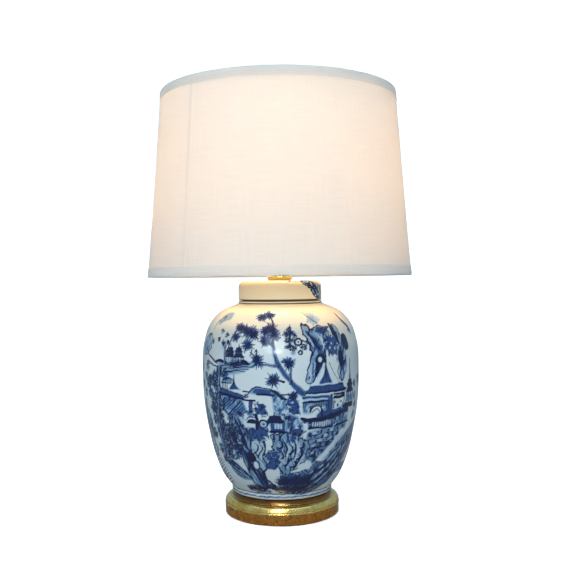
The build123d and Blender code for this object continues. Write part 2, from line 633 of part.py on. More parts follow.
def socket_moulding():
    shoulder = MOULDING_BOTTOM + SPIGOT_HEIGHT
    body = ring(0, SPIGOT_RADIUS, MOULDING_BOTTOM, shoulder)
    body += ring(0, MOULDING_RADIUS, shoulder, MOULDING_TOP)
    for side in (-1, 1):
        place = terminal_place(side)
        depth = MOULDING_RADIUS - TERMINAL_FLAT_X + 1
        body -= extrude(place * Rectangle(2 * MOULDING_RADIUS, TERMINAL_RECESS_HEIGHT), depth)
        body -= extrude(place * Circle(TERMINAL_SHANK_RADIUS + SLIP), -TERMINAL_SHANK_LENGTH - SEAT_GAP)
    shaft_end = (0, SWITCH_SHAFT_IN_MOULDING - MOULDING_RADIUS + SEAT_GAP, SWITCH_Z)
    body -= rod(SWITCH_SHAFT_RADIUS + RUNNING, (0, -MOULDING_RADIUS - 1, SWITCH_Z), shaft_end)
    return body


def terminal_screws():
    screws = []
    for side in (-1, 1):
        place = terminal_place(side)
        screw = extrude(place * Circle(TERMINAL_SHANK_RADIUS), -TERMINAL_SHANK_LENGTH)
        screw += extrude(place * Circle(TERMINAL_HEAD_RADIUS), TERMINAL_HEAD_HEIGHT)
        slot = Rectangle(2 * TERMINAL_HEAD_RADIUS + 1, CONTACT_THICKNESS)
        top = place.offset(TERMINAL_HEAD_HEIGHT)
        screws.append(screw - extrude(top * slot, -TERMINAL_HEAD_HEIGHT / 2))
    return Compound(children=screws)


def rolled_thread(radius, depth, low, turns, wall):
    """Half a section of rolled thread, its crests as rings: the line up the
    outside, and back down the inside one wall further in."""
    lines = []
    quarter = SCREW_PITCH / 4
    for shift in (0, -wall):
        edge = []
        for i in range(turns):
            z = low + i * SCREW_PITCH
            r = radius + shift
            edge.append(ThreePointArc((r, z), (r + depth, z + quarter), (r, z + 2 * quarter)))
            edge.append(Line((r, z + 2 * quarter), (r, z + 4 * quarter)))
        lines.append(edge)
    return lines


def socket_screw_shell():
    turns = int((SCREW_LENGTH - 2 * SCREW_WALL) / SCREW_PITCH)
    low = MOULDING_TOP + SCREW_WALL
    top = MOULDING_TOP + SCREW_LENGTH
    outer = SCREW_BORE + SCREW_WALL
    outside, inside = rolled_thread(outer, SCREW_DEPTH, low, turns, SCREW_WALL)
    high = low + turns * SCREW_PITCH
    return turned(
        Polyline((SCREW_BORE, low), (SCREW_FLOOR_HOLE, low), (SCREW_FLOOR_HOLE, MOULDING_TOP),
                 (outer, MOULDING_TOP), (outer, low)),
        *outside,
        Polyline((outer, high), (outer, top), (SCREW_BORE, top), (SCREW_BORE, high)),
        *inside,
    )


def centre_contact():
    half = CONTACT_LENGTH / 2
    low = MOULDING_TOP + CONTACT_THICKNESS / 2
    high = CONTACT_TOP - CONTACT_THICKNESS / 2
    path = FilletPolyline(
        (-half, 0, low), (-half / 3, 0, low), (half / 6, 0, high), (half / 2, 0, high),
        radius=3 * CONTACT_THICKNESS,
    )
    section = Plane(path @ 0, x_dir=(0, 1, 0), z_dir=path % 0) * Rectangle(CONTACT_WIDTH, CONTACT_THICKNESS)
    return sweep(section, path=path)


def switch_window(radius):
    """What is cut from a wall round the socket where the switch comes out."""
    return rod(radius, (0, 0, SWITCH_Z), (0, -SHELL_RADIUS - 1, SWITCH_Z))


def socket_liner():
    liner = ring(LINER_RADIUS - LINER_WALL, LINER_RADIUS, SHELL_BOTTOM, LINER_TOP)
    return liner - switch_window(SWITCH_WINDOW_RADIUS)


def socket_shell():
    shell = ring(SHELL_RADIUS - SHELL_WALL, SHELL_RADIUS, SHELL_BOTTOM, SHELL_TOP)
    return shell - switch_window(SWITCH_WINDOW_RADIUS)


def switch_shaft():
    inner_y = SWITCH_SHAFT_IN_MOULDING - MOULDING_RADIUS
    return rod(SWITCH_SHAFT_RADIUS, (0, inner_y, SWITCH_Z), (0, -KNOB_FACE - SWITCH_SHAFT_IN_KNOB, SWITCH_Z))


def switch_knob():
    face = (0, -KNOB_FACE, SWITCH_Z)
    end = (0, -KNOB_FACE - KNOB_LENGTH, SWITCH_Z)
    knob = rod(KNOB_RADIUS, face, end)
    knob = fillet(knob.edges().filter_by(GeomType.CIRCLE), KNOB_EDGE)
    for i in range(KNOB_FLUTES):
        turn = 2 * math.pi * i / KNOB_FLUTES
        x = KNOB_RADIUS * math.cos(turn)
        z = SWITCH_Z + KNOB_RADIUS * math.sin(turn)
        knob -= rod(KNOB_FLUTE_RADIUS, (x, -KNOB_FACE + 1, z), (x, -KNOB_FACE - KNOB_LENGTH - 1, z))
    shaft_end = -KNOB_FACE - SWITCH_SHAFT_IN_KNOB - SEAT_GAP
    return knob - rod(SWITCH_SHAFT_RADIUS + RUNNING, (0, -KNOB_FACE + 1, SWITCH_Z), (0, shaft_end, SWITCH_Z))


# ---------------------------------------------------------------------- bulb
def bulb_contact():
    """A drop of solder with a flat tip."""
    return turned_points(
        (0, BULB_BOTTOM), (BULB_CONTACT_RADIUS / 2, BULB_BOTTOM), (BULB_CONTACT_RADIUS, INSULATOR_BOTTOM),
        (0, INSULATOR_BOTTOM),
    )


def bulb_insulator():
    root = BULB_CAP_RADIUS - BULB_CAP_WALL
    return turned_points(
        (0, INSULATOR_BOTTOM), (INSULATOR_TIP_RADIUS, INSULATOR_BOTTOM), (root, THREAD_BOTTOM - 1),
        (root, THREAD_BOTTOM), (0, THREAD_BOTTOM),
    )


def bulb_cap():
    outside, inside = rolled_thread(
        BULB_CAP_RADIUS, BULB_THREAD, THREAD_BOTTOM, BULB_CAP_TURNS, BULB_CAP_WALL
    )
    bore = BULB_CAP_RADIUS - BULB_CAP_WALL
    return turned(
        Line((bore, THREAD_BOTTOM), (BULB_CAP_RADIUS, THREAD_BOTTOM)),
        *outside,
        Polyline((BULB_CAP_RADIUS, THREAD_TOP), (BULB_CAP_RADIUS, BULB_CAP_TOP),
                 (bore, BULB_CAP_TOP), (bore, THREAD_TOP)),
        *inside,
    )


def globe_side(radius, neck):
    """Half a section of the globe and its neck, from the neck's foot up to
    the pole, at one radius of the globe."""
    turn = math.radians(BULB_CHEEK_ANGLE)
    cheek = (radius * math.cos(turn), BULB_MIDDLE - radius * math.sin(turn))
    globe = ThreePointArc(cheek, (radius, BULB_MIDDLE), (0, BULB_MIDDLE + radius))
    taper = Spline(
        (neck, BULB_CAP_TOP), cheek, tangents=((0, 1), (math.sin(turn), math.cos(turn))),
    )
    return taper, globe


def bulb_glass():
    neck_in = BULB_NECK_RADIUS - BULB_GLASS
    radius_in = BULB_RADIUS - BULB_GLASS
    taper, globe = globe_side(BULB_RADIUS, BULB_NECK_RADIUS)
    taper_in, globe_in = globe_side(radius_in, neck_in)
    return turned(
        Polyline((neck_in, BULB_CAP_TOP), (neck_in, GLASS_BOTTOM), (BULB_NECK_RADIUS, GLASS_BOTTOM),
                 (BULB_NECK_RADIUS, BULB_CAP_TOP)),
        taper,
        globe,
        Line((0, BULB_TOP), (0, BULB_TOP - BULB_GLASS)),
        globe_in,
        taper_in,
    )


def bulb_stem():
    flare = min(STEM_FLARE_RADIUS, BULB_NECK_RADIUS - BULB_GLASS - SEAT_GAP)
    flare_top = GLASS_BOTTOM + STEM_FLARE_HEIGHT
    hollow = (STEM_RADIUS + 1.5, GLASS_BOTTOM + STEM_FLARE_HEIGHT * 0.4)
    body = turned(
        Polyline((STEM_RADIUS, flare_top), (0, flare_top), (0, GLASS_BOTTOM), (flare, GLASS_BOTTOM)),
        ThreePointArc((flare, GLASS_BOTTOM), hollow, (STEM_RADIUS, flare_top)),
    )
    return body + ring(0, STEM_RADIUS, flare_top, STEM_TOP)


def lead_points(side):
    """A lead's foot beside the stem's top, its shoulder and the filament's end."""
    foot = (side * (STEM_RADIUS + LEAD_RADIUS), 0, STEM_TOP - STEM_LENGTH / 3)
    shoulder = (side * (STEM_RADIUS + LEAD_RADIUS), 0, STEM_TOP)
    tip = (side * FILAMENT_HALF_SPAN, 0, BULB_MIDDLE)
    return foot, shoulder, tip


def bulb_leads():
    leads = []
    for side in (-1, 1):
        foot, shoulder, tip = lead_points(side)
        leads.append(wire(LEAD_RADIUS, FilletPolyline(foot, shoulder, tip, radius=2 * STEM_RADIUS)))
    return Compound(children=leads)


def bulb_filament():
    reach = FILAMENT_HALF_SPAN - LEAD_RADIUS
    path = ThreePointArc(
        (-reach, 0, BULB_MIDDLE + FILAMENT_RADIUS + LEAD_RADIUS),
        (0, 0, BULB_MIDDLE + FILAMENT_SAG),
        (reach, 0, BULB_MIDDLE + FILAMENT_RADIUS + LEAD_RADIUS),
    )
    return wire(FILAMENT_RADIUS, path)


# --------------------------------------------------------------------- shade
def slope():
    """Unit vector down the shade's side in its half section, as (r, z)."""
    down = Vector(SHADE_BOTTOM_RADIUS - SHADE_TOP_RADIUS, -SHADE_HEIGHT).normalized()
    return down.X, down.Y


def rim_point(rim, inward, along):
    """A point of the half section by its depth in from the panel's outside
    and its way along the side from the top or bottom edge."""
    r, z = slope()
    if rim == "top":
        return (SHADE_TOP_RADIUS + along * r + inward * z, SHADE_TOP + along * z - inward * r)
    return (SHADE_BOTTOM_RADIUS - along * r + inward * z, SHADE_BOTTOM - along * z - inward * r)


def shade_panel():
    panel = turned_points(
        rim_point("top", 0, 0), rim_point("bottom", 0, 0),
        rim_point("bottom", PANEL, 0), rim_point("top", PANEL, 0),
    )
    clear = TAPE_WIDTH + 1
    lap = make_face(Polyline(
        rim_point("top", -SEAM_PROUD, clear), rim_point("bottom", -SEAM_PROUD, clear),
        rim_point("bottom", PANEL / 2, clear), rim_point("top", PANEL / 2, clear), close=True,
    ))
    width = math.degrees(SEAM_WIDTH / SHADE_TOP_RADIUS)
    return panel + Rot(0, 0, SEAM_ANGLE) * revolve(Plane.XZ * lap, Axis.Z, width)


def spider_arm_turns():
    """The angle of each spider arm, in degrees round from +X."""
    return [SPIDER_FIRST_ARM + i * 360 / SPIDER_ARMS for i in range(SPIDER_ARMS)]


def shade_tape(rim):
    """The binding: down the outside, over the rim and its wire, and back
    against the panel's inside. The top one is slit where the arms pass."""
    over = PANEL + 2 * GLUE + 2 * RIM_WIRE_RADIUS
    under = 2 * RIM_WIRE_RADIUS + GLUE
    back = PANEL + GLUE
    tape = turned_points(
        rim_point(rim, -GLUE, TAPE_WIDTH), rim_point(rim, -GLUE - TAPE, TAPE_WIDTH),
        rim_point(rim, -GLUE - TAPE, -GLUE - TAPE), rim_point(rim, over + TAPE, -GLUE - TAPE),
        rim_point(rim, over + TAPE, under + TAPE), rim_point(rim, back + TAPE, under + TAPE),
        rim_point(rim, back + TAPE, TAPE_IN_WIDTH), rim_point(rim, back, TAPE_IN_WIDTH),
        rim_point(rim, back, under), rim_point(rim, over, under),
        rim_point(rim, over, -GLUE), rim_point(rim, -GLUE, -GLUE),
    )
    if rim == "top":
        ring_r, ring_z = rim_point("top", PANEL + GLUE + RIM_WIRE_RADIUS, RIM_WIRE_RADIUS)
        reach = SPIDER_BEND + TAPE_IN_WIDTH
        slit = Box(reach, 2 * SPIDER_WIRE_RADIUS + 4 * SLIP, 2 * TAPE_IN_WIDTH)
        slit_place = Pos(ring_r + RIM_WIRE_RADIUS - reach / 2, 0, ring_z + RIM_WIRE_RADIUS - TAPE_IN_WIDTH)
        for turn in spider_arm_turns():
            tape -= Rot(0, 0, turn) * slit_place * slit
    return tape


def rim_wire(rim):
    """The wire ring under a tape."""
    r, z = rim_point(rim, PANEL + GLUE + RIM_WIRE_RADIUS, RIM_WIRE_RADIUS)
    return Pos(0, 0, z) * Torus(r, RIM_WIRE_RADIUS)


def shade_spider():
    """The top ring with its arms: each runs out level from the washer, then
    up to the ring's underside below the tape."""
    ring_r, ring_z = rim_point("top", PANEL + GLUE + RIM_WIRE_RADIUS, RIM_WIRE_RADIUS)
    level = SHADE_SEAT + SPIDER_HUB_THICKNESS / 2
    spider = rim_wire("top")
    spider += ring(SPIDER_HOLE, SPIDER_HUB_RADIUS, SHADE_SEAT, SPIDER_TOP)
    bite = RIM_WIRE_RADIUS / 4
    for turn in spider_arm_turns():
        path = FilletPolyline(
            (SPIDER_HUB_RADIUS - SPIDER_WIRE_RADIUS, 0, level), (ring_r - TAPE_IN_WIDTH, 0, level),
            (ring_r - bite, 0, ring_z - bite),
            radius=SPIDER_BEND,
        )
        spider += Rot(0, 0, turn) * wire(SPIDER_WIRE_RADIUS, path)
    return spider


# --------------------------------------------------------------------- nodes
NODES = {
    "felt_pad": felt_pad(),
    "turned_base": turned_base(),
    "base_washer": base_washer(),
    "lock_washer": lock_washer(),
    "base_nut": base_nut(),
    "threaded_pipe": threaded_pipe(),
    "cord_gland": cord_gland(),
    "jar_gasket": jar_gasket(),
    "pipe_grommet": pipe_grommet(),
    "jar_body": jar_body(),
    "jar_lid": jar_lid(),
    "lid_cap": lid_cap(),
    "neck_tube": neck_tube(),
    "harp_saddle": harp_saddle(),
    "harp_sleeve_left": harp_sleeve(-1),
    "harp_sleeve_right": harp_sleeve(1),
    "harp": harp(),
    "harp_swivel": harp_swivel(),
    "finial": finial(),
    "socket_cap": socket_cap(),
    "socket_set_screw": socket_set_screw(),
    "socket_moulding": socket_moulding(),
    "terminal_screws": terminal_screws(),
    "socket_screw_shell": socket_screw_shell(),
    "centre_contact": centre_contact(),
    "socket_liner": socket_liner(),
    "socket_shell": socket_shell(),
    "switch_shaft": switch_shaft(),
    "switch_knob": switch_knob(),
    "bulb_cap": bulb_cap(),
    "bulb_insulator": bulb_insulator(),
    "bulb_contact": bulb_contact(),
    "bulb_glass": bulb_glass(),
    "bulb_stem": bulb_stem(),
    "bulb_leads": bulb_leads(),
    "bulb_filament": bulb_filament(),
    "shade_panel": shade_panel(),
    "shade_top_tape": shade_tape("top"),
    "shade_bottom_tape": shade_tape("bottom"),
    "shade_spider": shade_spider(),
    "shade_bottom_ring": rim_wire("bottom"),
}

for name, solid in NODES.items():
    export_step(solid, f"parts/{name}.step")
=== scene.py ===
import json
import math

import bmesh
import bpy
import numpy as np
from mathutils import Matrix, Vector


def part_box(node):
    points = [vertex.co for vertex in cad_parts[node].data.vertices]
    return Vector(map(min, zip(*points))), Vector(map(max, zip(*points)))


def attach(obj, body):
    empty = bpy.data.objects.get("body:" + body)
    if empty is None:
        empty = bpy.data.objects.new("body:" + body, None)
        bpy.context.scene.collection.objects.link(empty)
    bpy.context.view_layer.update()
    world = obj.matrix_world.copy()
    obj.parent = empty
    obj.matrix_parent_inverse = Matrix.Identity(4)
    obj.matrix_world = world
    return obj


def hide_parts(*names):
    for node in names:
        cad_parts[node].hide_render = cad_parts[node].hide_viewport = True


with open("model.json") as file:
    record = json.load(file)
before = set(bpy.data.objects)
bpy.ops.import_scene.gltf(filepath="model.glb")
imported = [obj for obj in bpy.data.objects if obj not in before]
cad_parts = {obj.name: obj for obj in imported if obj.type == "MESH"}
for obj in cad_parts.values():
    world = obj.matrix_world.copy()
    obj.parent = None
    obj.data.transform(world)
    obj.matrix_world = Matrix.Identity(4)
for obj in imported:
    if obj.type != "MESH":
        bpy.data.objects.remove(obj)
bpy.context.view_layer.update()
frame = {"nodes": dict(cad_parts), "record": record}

bl_info = {
    "name": "Ginger Jar Lamp",
    "version": (1, 0, 0),
    "blender": (4, 5, 0),
    "location": "3D View > Sidebar > Jar Lamp",
    "description": "Dresses a ginger jar table lamp: painted porcelain, gilded base, lit cloth shade",
    "category": "Add Mesh",
}

MM = 0.001


# ------------------------------------------------------------------ sizes from the frame, in mm
def span(node):
    """A node's greatest radius, and its lowest and highest level, in mm."""
    low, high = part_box(node)
    return high[0] / MM, low[2] / MM, high[2] / MM


JAR_BELLY, JAR_FOOT, JAR_RIM = span("jar_body")
LID_RADIUS, LID_BOTTOM, LID_TOP = span("jar_lid")
BASE_TOP = span("turned_base")[2]
FELT_RADIUS, FELT_BOTTOM, FELT_TOP = span("felt_pad")
SHADE_WIDEST, SHADE_BOTTOM, SHADE_TOP = span("shade_panel")


def shown(red, green, blue):
    """A colour as a screen shows it, 0 to 255, turned into the linear light that Blender works in."""
    share = np.array([red, green, blue]) / 255
    return tuple(np.where(share <= 0.04045, share / 12.92, ((share + 0.055) / 1.055) ** 2.4))


def all_round(columns):
    """The angle of each of so many columns, in degrees, from the back round to the back again."""
    return np.arange(columns) * 360 / columns - 180


def round_about(radii, angles, levels):
    """Points of a turned surface in metres: row i has radius i and level i, column j the angle j in degrees,
    measured from the front, -Y, towards the right, +X."""
    turn = np.radians(angles)
    radii, levels = (value if np.ndim(value) > 1 else np.reshape(value, (-1, 1)) for value in (radii, levels))
    return np.stack(np.broadcast_arrays(radii * np.sin(turn), -radii * np.cos(turn), levels), axis=-1) * MM


def smooth_path(points, each=6):
    """A smooth curve through points. Each run is the cubic with its two ends and their slopes, and a point's
    slope is that of the parabola through it and its neighbours, measured along the chords."""
    p = np.asarray(points, float)
    chord = np.hypot(*np.diff(p, axis=0).T) + 1e-6
    slope = np.gradient(p, np.concatenate(([0], np.cumsum(chord))), axis=0)
    t = np.linspace(0, 1, each, endpoint=False)[None, :, None]
    a, b = p[:-1, None], p[1:, None]
    m, n = slope[:-1, None] * chord[:, None, None], slope[1:, None] * chord[:, None, None]
    ease = 3 * t**2 - 2 * t**3
    curve = (1 - ease) * a + (t**3 - 2 * t**2 + t) * m + ease * b + (t**3 - t**2) * n
    return np.vstack([curve.reshape(-1, 2), p[-1:]])


def smooth_ring(corners):
    """A smooth closed curve through corners."""
    return smooth_path(np.vstack([corners, corners[:1]]), 5)[:-1]


def arc(centre, radius, start, end, steps):
    """Points on a circle round centre from angle start to end, in degrees."""
    turn = np.radians(np.linspace(start, end, steps))
    return np.stack([centre[0] + radius * np.cos(turn), centre[1] + radius * np.sin(turn)], axis=-1)


def link(name, data):
    """Puts an object with this data in the scene, at the origin."""
    holder = bpy.data.objects.new(name, data)
    bpy.context.scene.collection.objects.link(holder)
    return holder


SHARP_EDGE = 35              # degrees between two faces from which their edge isn't smoothed


def new_piece(name, points, body, material, along=False):
    """A piece from a grid of points, rows by columns: face (i, j) joins rows i and i+1 at columns j and j+1.
    The columns close round, and along closes the rows too. A UV map OFBake spreads the grid over the unit
    square."""
    rows, columns = points.shape[:2]
    runs = rows if along else rows - 1
    i = np.arange(runs)[:, None]
    j = np.arange(columns)[None, :]
    up, over = (i + 1) % rows, (j + 1) % columns
    faces = np.stack([i * columns + j, i * columns + over, up * columns + over, up * columns + j], axis=-1)
    mesh = bpy.data.meshes.new(name)
    mesh.from_pydata(points.reshape(-1, 3).tolist(), [], faces.reshape(-1, 4).tolist())
    grid = np.zeros(faces.shape + (2,), np.float32)
    grid[..., 0] = np.stack([j, j + 1, j + 1, j], axis=-1) / columns
    grid[..., 1] = np.stack([i, i, i + 1, i + 1], axis=-1) / runs
    mesh.uv_layers.new(name="OFBake").data.foreach_set("uv", grid.ravel())
    mesh.shade_smooth()
    mesh.set_sharp_from_angle(angle=math.radians(SHARP_EDGE))
    mesh.materials.append(material)
    piece = link(name, mesh)
    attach(piece, body)
    return piece


def note(piece, name, values, kind="FLOAT"):
    """Keeps one value for each vertex as an attribute that the material reads."""
    field = {"FLOAT": "value", "FLOAT_COLOR": "color"}[kind]
    layer = piece.data.attributes.new(name, kind, "POINT")
    layer.data.foreach_set(field, np.asarray(values, np.float32).ravel())


# ------------------------------------------------------------------ materials
class Finish:
    """A material that is being put together: add makes a node, sets its options and fills its inputs, linking
    those that are given another node's output."""

    def __init__(self, name):
        self.material = bpy.data.materials.new(name)
        self.material.use_nodes = True
        self.tree = self.material.node_tree
        self.tree.nodes.clear()

    def add(self, kind, inputs=None, **options):
        """Makes a node of a kind, with its options and inputs."""
        made = self.tree.nodes.new("ShaderNode" + kind)
        for option, value in options.items():
            setattr(made, option, value)
        for key, value in (inputs or {}).items():
            if isinstance(value, bpy.types.NodeSocket):
                self.tree.links.new(value, made.inputs[key])
            else:
                made.inputs[key].default_value = value
        return made

    def place(self, scale=(1, 1, 1)):
        """The point on the object, in metres, stretched by scale."""
        where = self.add("TexCoord").outputs["Object"]
        return self.add("Mapping", {"Vector": where, "Scale": scale}).outputs["Vector"]

    def height(self):
        """The level above the floor, in metres."""
        return self.add("SeparateXYZ", {"Vector": self.place()}).outputs["Z"]

    def noise(self, size, detail=3.0, rough=0.5, stretch=(1, 1, 1)):
        """Cloudy noise, 0 to 1, whose patches are about size mm across."""
        scale = tuple(s / (size * MM) for s in stretch)
        return self.add("TexNoise", {"Vector": self.place(scale), "Scale": 1.0, "Detail": detail,
                                     "Roughness": rough}).outputs["Fac"]

    def between(self, value, low, high, to_low=0.0, to_high=1.0):
        """value from low to high carried to to_low to to_high, and held there outside."""
        return self.add("MapRange", {"Value": value, "From Min": low, "From Max": high, "To Min": to_low,
                                     "To Max": to_high}).outputs["Result"]

    def drift(self, cloud, low=0.0, high=1.0):
        """Cloudy noise, which seldom leaves its middle 0.3 to 0.7, carried to low to high."""
        return self.between(cloud, 0.3, 0.7, low, high)

    def maths(self, operation, first, second=0.0):
        """One sum, by the operation's name, on one or two values."""
        return self.add("Math", {0: first, 1: second}, operation=operation).outputs[0]

    def blend(self, share, first, second):
        """The colour first where share is 0, and second where it is 1. A Mix node for colours has its share
        as input 0, the colours as inputs 6 and 7, and gives them blended as output 2."""
        return self.add("Mix", {0: share, 6: four(first), 7: four(second)}, data_type="RGBA").outputs[2]

    def bump(self, height, depth, normal=None):
        """A surface raised by depth mm where height is 1."""
        inputs = {"Height": height, "Strength": 1.0, "Distance": depth * MM}
        if normal is not None:
            inputs["Normal"] = normal
        return self.add("Bump", inputs).outputs["Normal"]

    def finish(self, shader):
        """Puts the shader on the surface, and gives the material that is now complete."""
        self.add("OutputMaterial", {"Surface": shader})
        return self.material

    def principled(self, inputs):
        """Finishes with a Principled shader."""
        return self.finish(self.add("BsdfPrincipled", inputs).outputs[0])


def four(colour):
    """A colour with its fourth value, or another node's output as it is."""
    return colour if isinstance(colour, bpy.types.NodeSocket) else (*colour[:3], 1.0)


LAMPLIT_FROM = 260.0           # level where the glaze starts to warm towards the lid, as painted lamplight
BISCUIT_EDGE = (0.6, 1.4)    # above the foot: bare clay below the first, glaze over the second
BISCUIT_ROUGH = 0.7
SHOULDER_LINE = 0.7          # half widths: the brown line at the shoulder, and the painted shadow at the gap under the lid
LID_GAP_SHADOW = 1.5
PLINTH_EDGE = (15.5, 17.5)   # leaf darkened below the first level as a painted dark reflection, burnished leaf over the second
NECK_SHADE_EDGE = (7.2, 6.0)       # the neck under the jar, darkened towards the clay colour as painted shade, below the base's top
THREAD_DEPTH = 0.06


def glazed_porcelain(colours):
    """Cobalt painting under a clear glaze. The attribute paint holds wash, blue and line, each cut back to a
    crisp edge at a half, over a white body, which turns warm up the shoulder and over the lid as painted
    lamplight.
    Below the glaze's edge the foot is bare biscuit, a brown line runs round the shoulder, and a painted
    shadow of the gap between lid and jar runs round the lid's lower rim."""
    f = Finish("glazed_porcelain")
    paint = f.add("SeparateColor", {"Color": f.add("Attribute", attribute_name="paint").outputs["Color"]})
    wash, blue, line = (paint.outputs[k] for k in ("Red", "Green", "Blue"))
    pooled = f.noise(9, 4.0, 0.6)
    ragged = f.drift(f.noise(1.6, 3.0, 0.6), -0.10, 0.10)
    level = f.height()
    body = f.blend(f.noise(60, 2.0), colours.glaze_cool, colours.glaze_warm)
    # Painted light: the glaze warms from this level up to the lid, standing in for the bulb's light on
    # shoulder and lid.
    body = f.blend(f.between(level, LAMPLIT_FROM * MM, LID_BOTTOM * MM), body, colours.glaze_lamplit)
    wash = f.maths("MULTIPLY", wash, f.between(pooled, 0.25, 0.75, 0.72, 1.12))
    thin = f.blend(f.between(wash, 0.03, 0.5), body, colours.cobalt_thin)
    thick = f.blend(f.between(wash, 0.5, 1.0), thin, colours.cobalt_wash)
    blue = f.between(f.maths("ADD", blue, ragged), 0.38, 0.58)
    strong = f.blend(f.drift(pooled), colours.cobalt_blue, colours.cobalt_wash)
    strong = f.blend(0.30, colours.cobalt_blue, strong)
    painted = f.blend(blue, thick, strong)
    line = f.between(f.maths("ADD", line, f.maths("MULTIPLY", ragged, 0.8)), 0.36, 0.58)
    dark = f.blend(f.between(pooled, 0.35, 0.7), colours.cobalt_line, colours.cobalt_blue)
    dark = f.blend(0.25, colours.cobalt_line, dark)
    painted = f.blend(line, painted, dark)
    glazed = f.between(level, *((JAR_FOOT + edge) * MM for edge in BISCUIT_EDGE))
    # The second band is painted shadow: the dark gap between the lid's lower rim and the jar, put into the
    # glaze's colour.
    for middle, half in ((JAR_FOOT + JAR_SIDE_HEIGHT, SHOULDER_LINE), (LID_BOTTOM, LID_GAP_SHADOW)):
        off = f.maths("ABSOLUTE", f.maths("SUBTRACT", level, middle * MM))
        edge = f.between(off, half * MM, (half + 0.4) * MM, 1.0, 0.0)
        painted = f.blend(edge, painted, colours.rim)
    gloss = f.drift(f.noise(14, 3.0), 0.10, 0.17)
    smoother = f.maths("MULTIPLY", glazed, f.maths("SUBTRACT", gloss, BISCUIT_ROUGH))
    ripple = f.bump(f.noise(22, 2.0), 0.25)
    return f.principled({"Base Color": f.blend(glazed, shown(226, 214, 190), painted),
                         "Roughness": f.maths("ADD", smoother, BISCUIT_ROUGH),
                         "Normal": f.bump(f.noise(3.5, 2.0), 0.02, ripple)})


def metal(name, colour, worn, rough=(0.12, 0.26), brushed=0.01):
    """A bare or lacquered metal: the colour drifts to worn in patches, fine lines run round the turned work,
    and the gloss varies."""
    f = Finish(name)
    tone = f.blend(f.between(f.noise(16, 4.0, 0.6), 0.35, 0.75), colour, worn)
    lines = f.noise(1.4, 2.0, 0.5, (1, 1, 6))
    return f.principled({"Base Color": tone, "Metallic": 1.0, "Roughness": f.drift(f.noise(7, 3.0), *rough),
                         "Normal": f.bump(lines, brushed)})


def moulded(name, colour, dust, rough=(0.35, 0.5), grain=0.03):
    """A moulded or pressed material: fine grain, gloss that varies, and dust in patches."""
    f = Finish(name)
    tone = f.blend(f.between(f.noise(11, 4.0), 0.45, 0.8), colour, dust)
    return f.principled({"Base Color": tone, "Roughness": f.drift(f.noise(5), *rough),
                         "Normal": f.bump(f.noise(1.2, 2.0), grain)})


def gold_leaf(colours):
    """Leaf laid over red clay: lapped squares, worn through in small breaks, burnished on the high mouldings.
    The plinth's leaf is darkened as a painted dark reflection, and the neck under the jar as painted shade."""
    f = Finish("gold_leaf")
    level = f.height()
    upper = f.between(level, *(edge * MM for edge in PLINTH_EDGE))
    breaks = f.between(f.noise(4.5, 6.0, 0.7), 0.57, 0.63)
    wear = f.maths("MULTIPLY", breaks, f.between(upper, 0, 1, 0.75, 0.35))
    laps = f.add("TexVoronoi", {"Vector": f.place((1, 1, 2.5)), "Scale": 34.0}, feature="DISTANCE_TO_EDGE")
    lap = f.between(laps.outputs["Distance"], 0.0, 0.035, 0.55, 0.0)
    tone = f.blend(f.drift(f.noise(18, 4.0)), colours.gold, colours.gold_deep)
    # Painted reflection: the plinth's leaf is darker, standing in for the dark room it would mirror.
    leaf = f.blend(lap, f.blend(upper, colours.gold_plinth_dark_reflection, tone), colours.gold_deep)
    # Painted shade: the neck under the jar's foot is tinted dark towards the clay colour.
    neck = f.between(level, *((BASE_TOP - edge) * MM for edge in NECK_SHADE_EDGE), 0.0, 0.85)
    leaf = f.blend(neck, leaf, colours.clay)
    dull = f.between(upper, 0, 1, 0.10, 0.0)
    dents = f.bump(f.noise(9, 3.0), 0.35)
    return f.principled({"Base Color": f.blend(wear, leaf, colours.clay),
                         "Metallic": f.between(wear, 0, 1, 1.0, 0.25),
                         "Roughness": f.maths("ADD", f.drift(f.noise(6, 4.0), 0.11, 0.25), dull),
                         "Normal": f.bump(f.noise(2.2, 3.0, 0.5, (1, 1, 5)), 0.12, dents)})


def lit_cloth(name, colour, through, share, weave=0.55, ribs=0.0):
    """Cloth that light comes through: share of it is Translucent. The UV map cloth is in mm, so the threads
    cross weave mm apart. ribs is the height of a tape's cross ribs."""
    f = Finish(name)
    cloth = f.add("UVMap", uv_map="cloth").outputs["UV"]
    across = f.add("SeparateXYZ", {"Vector": cloth})
    waves = [f.maths("SINE", f.maths("MULTIPLY", across.outputs[k], math.tau / weave)) for k in ("X", "Y")]
    height = f.between(waves[0] if ribs else f.maths("MULTIPLY", *waves), -1, 1)
    uneven = []
    for scale, low, high in (((0.02, 1.1, 1), 0.94, 1.04), ((1.3, 0.015, 1), 0.96, 1.03)):
        drawn = f.add("Mapping", {"Vector": cloth, "Scale": scale}).outputs[0]
        slubs = f.add("TexNoise", {"Vector": drawn, "Scale": 1.0, "Detail": 3.0}).outputs["Fac"]
        uneven.append(f.between(slubs, 0.2, 0.8, low, high))
    threads = f.maths("MULTIPLY", *uneven)
    double = f.add("Attribute", attribute_name="double").outputs["Fac"]
    faced = f.blend(threads, (0, 0, 0), colour)
    passed = f.blend(f.maths("MULTIPLY", threads, f.between(double, 0, 1, 1.0, 0.86)), (0, 0, 0), through)
    normal = f.bump(height, ribs or THREAD_DEPTH)
    front = f.add("BsdfDiffuse", {"Color": faced, "Roughness": 0.6, "Normal": normal})
    behind = f.add("BsdfTranslucent", {"Color": passed, "Normal": normal})
    mixed = f.add("MixShader", {0: share, 1: front.outputs[0], 2: behind.outputs[0]})
    return f.finish(mixed.outputs[0])


def felt(colour):
    """Pressed wool: short fibres every way, no gloss."""
    f = Finish("green_felt")
    fibres = f.noise(0.5, 5.0, 0.8, (1, 1, 0.6))
    tone = f.blend(f.drift(fibres), colour, tuple(1.9 * c for c in colour))
    return f.principled({"Base Color": tone, "Roughness": 0.95, "Sheen Weight": 0.4, "Sheen Roughness": 0.5,
                         "Normal": f.bump(fibres, 0.35)})


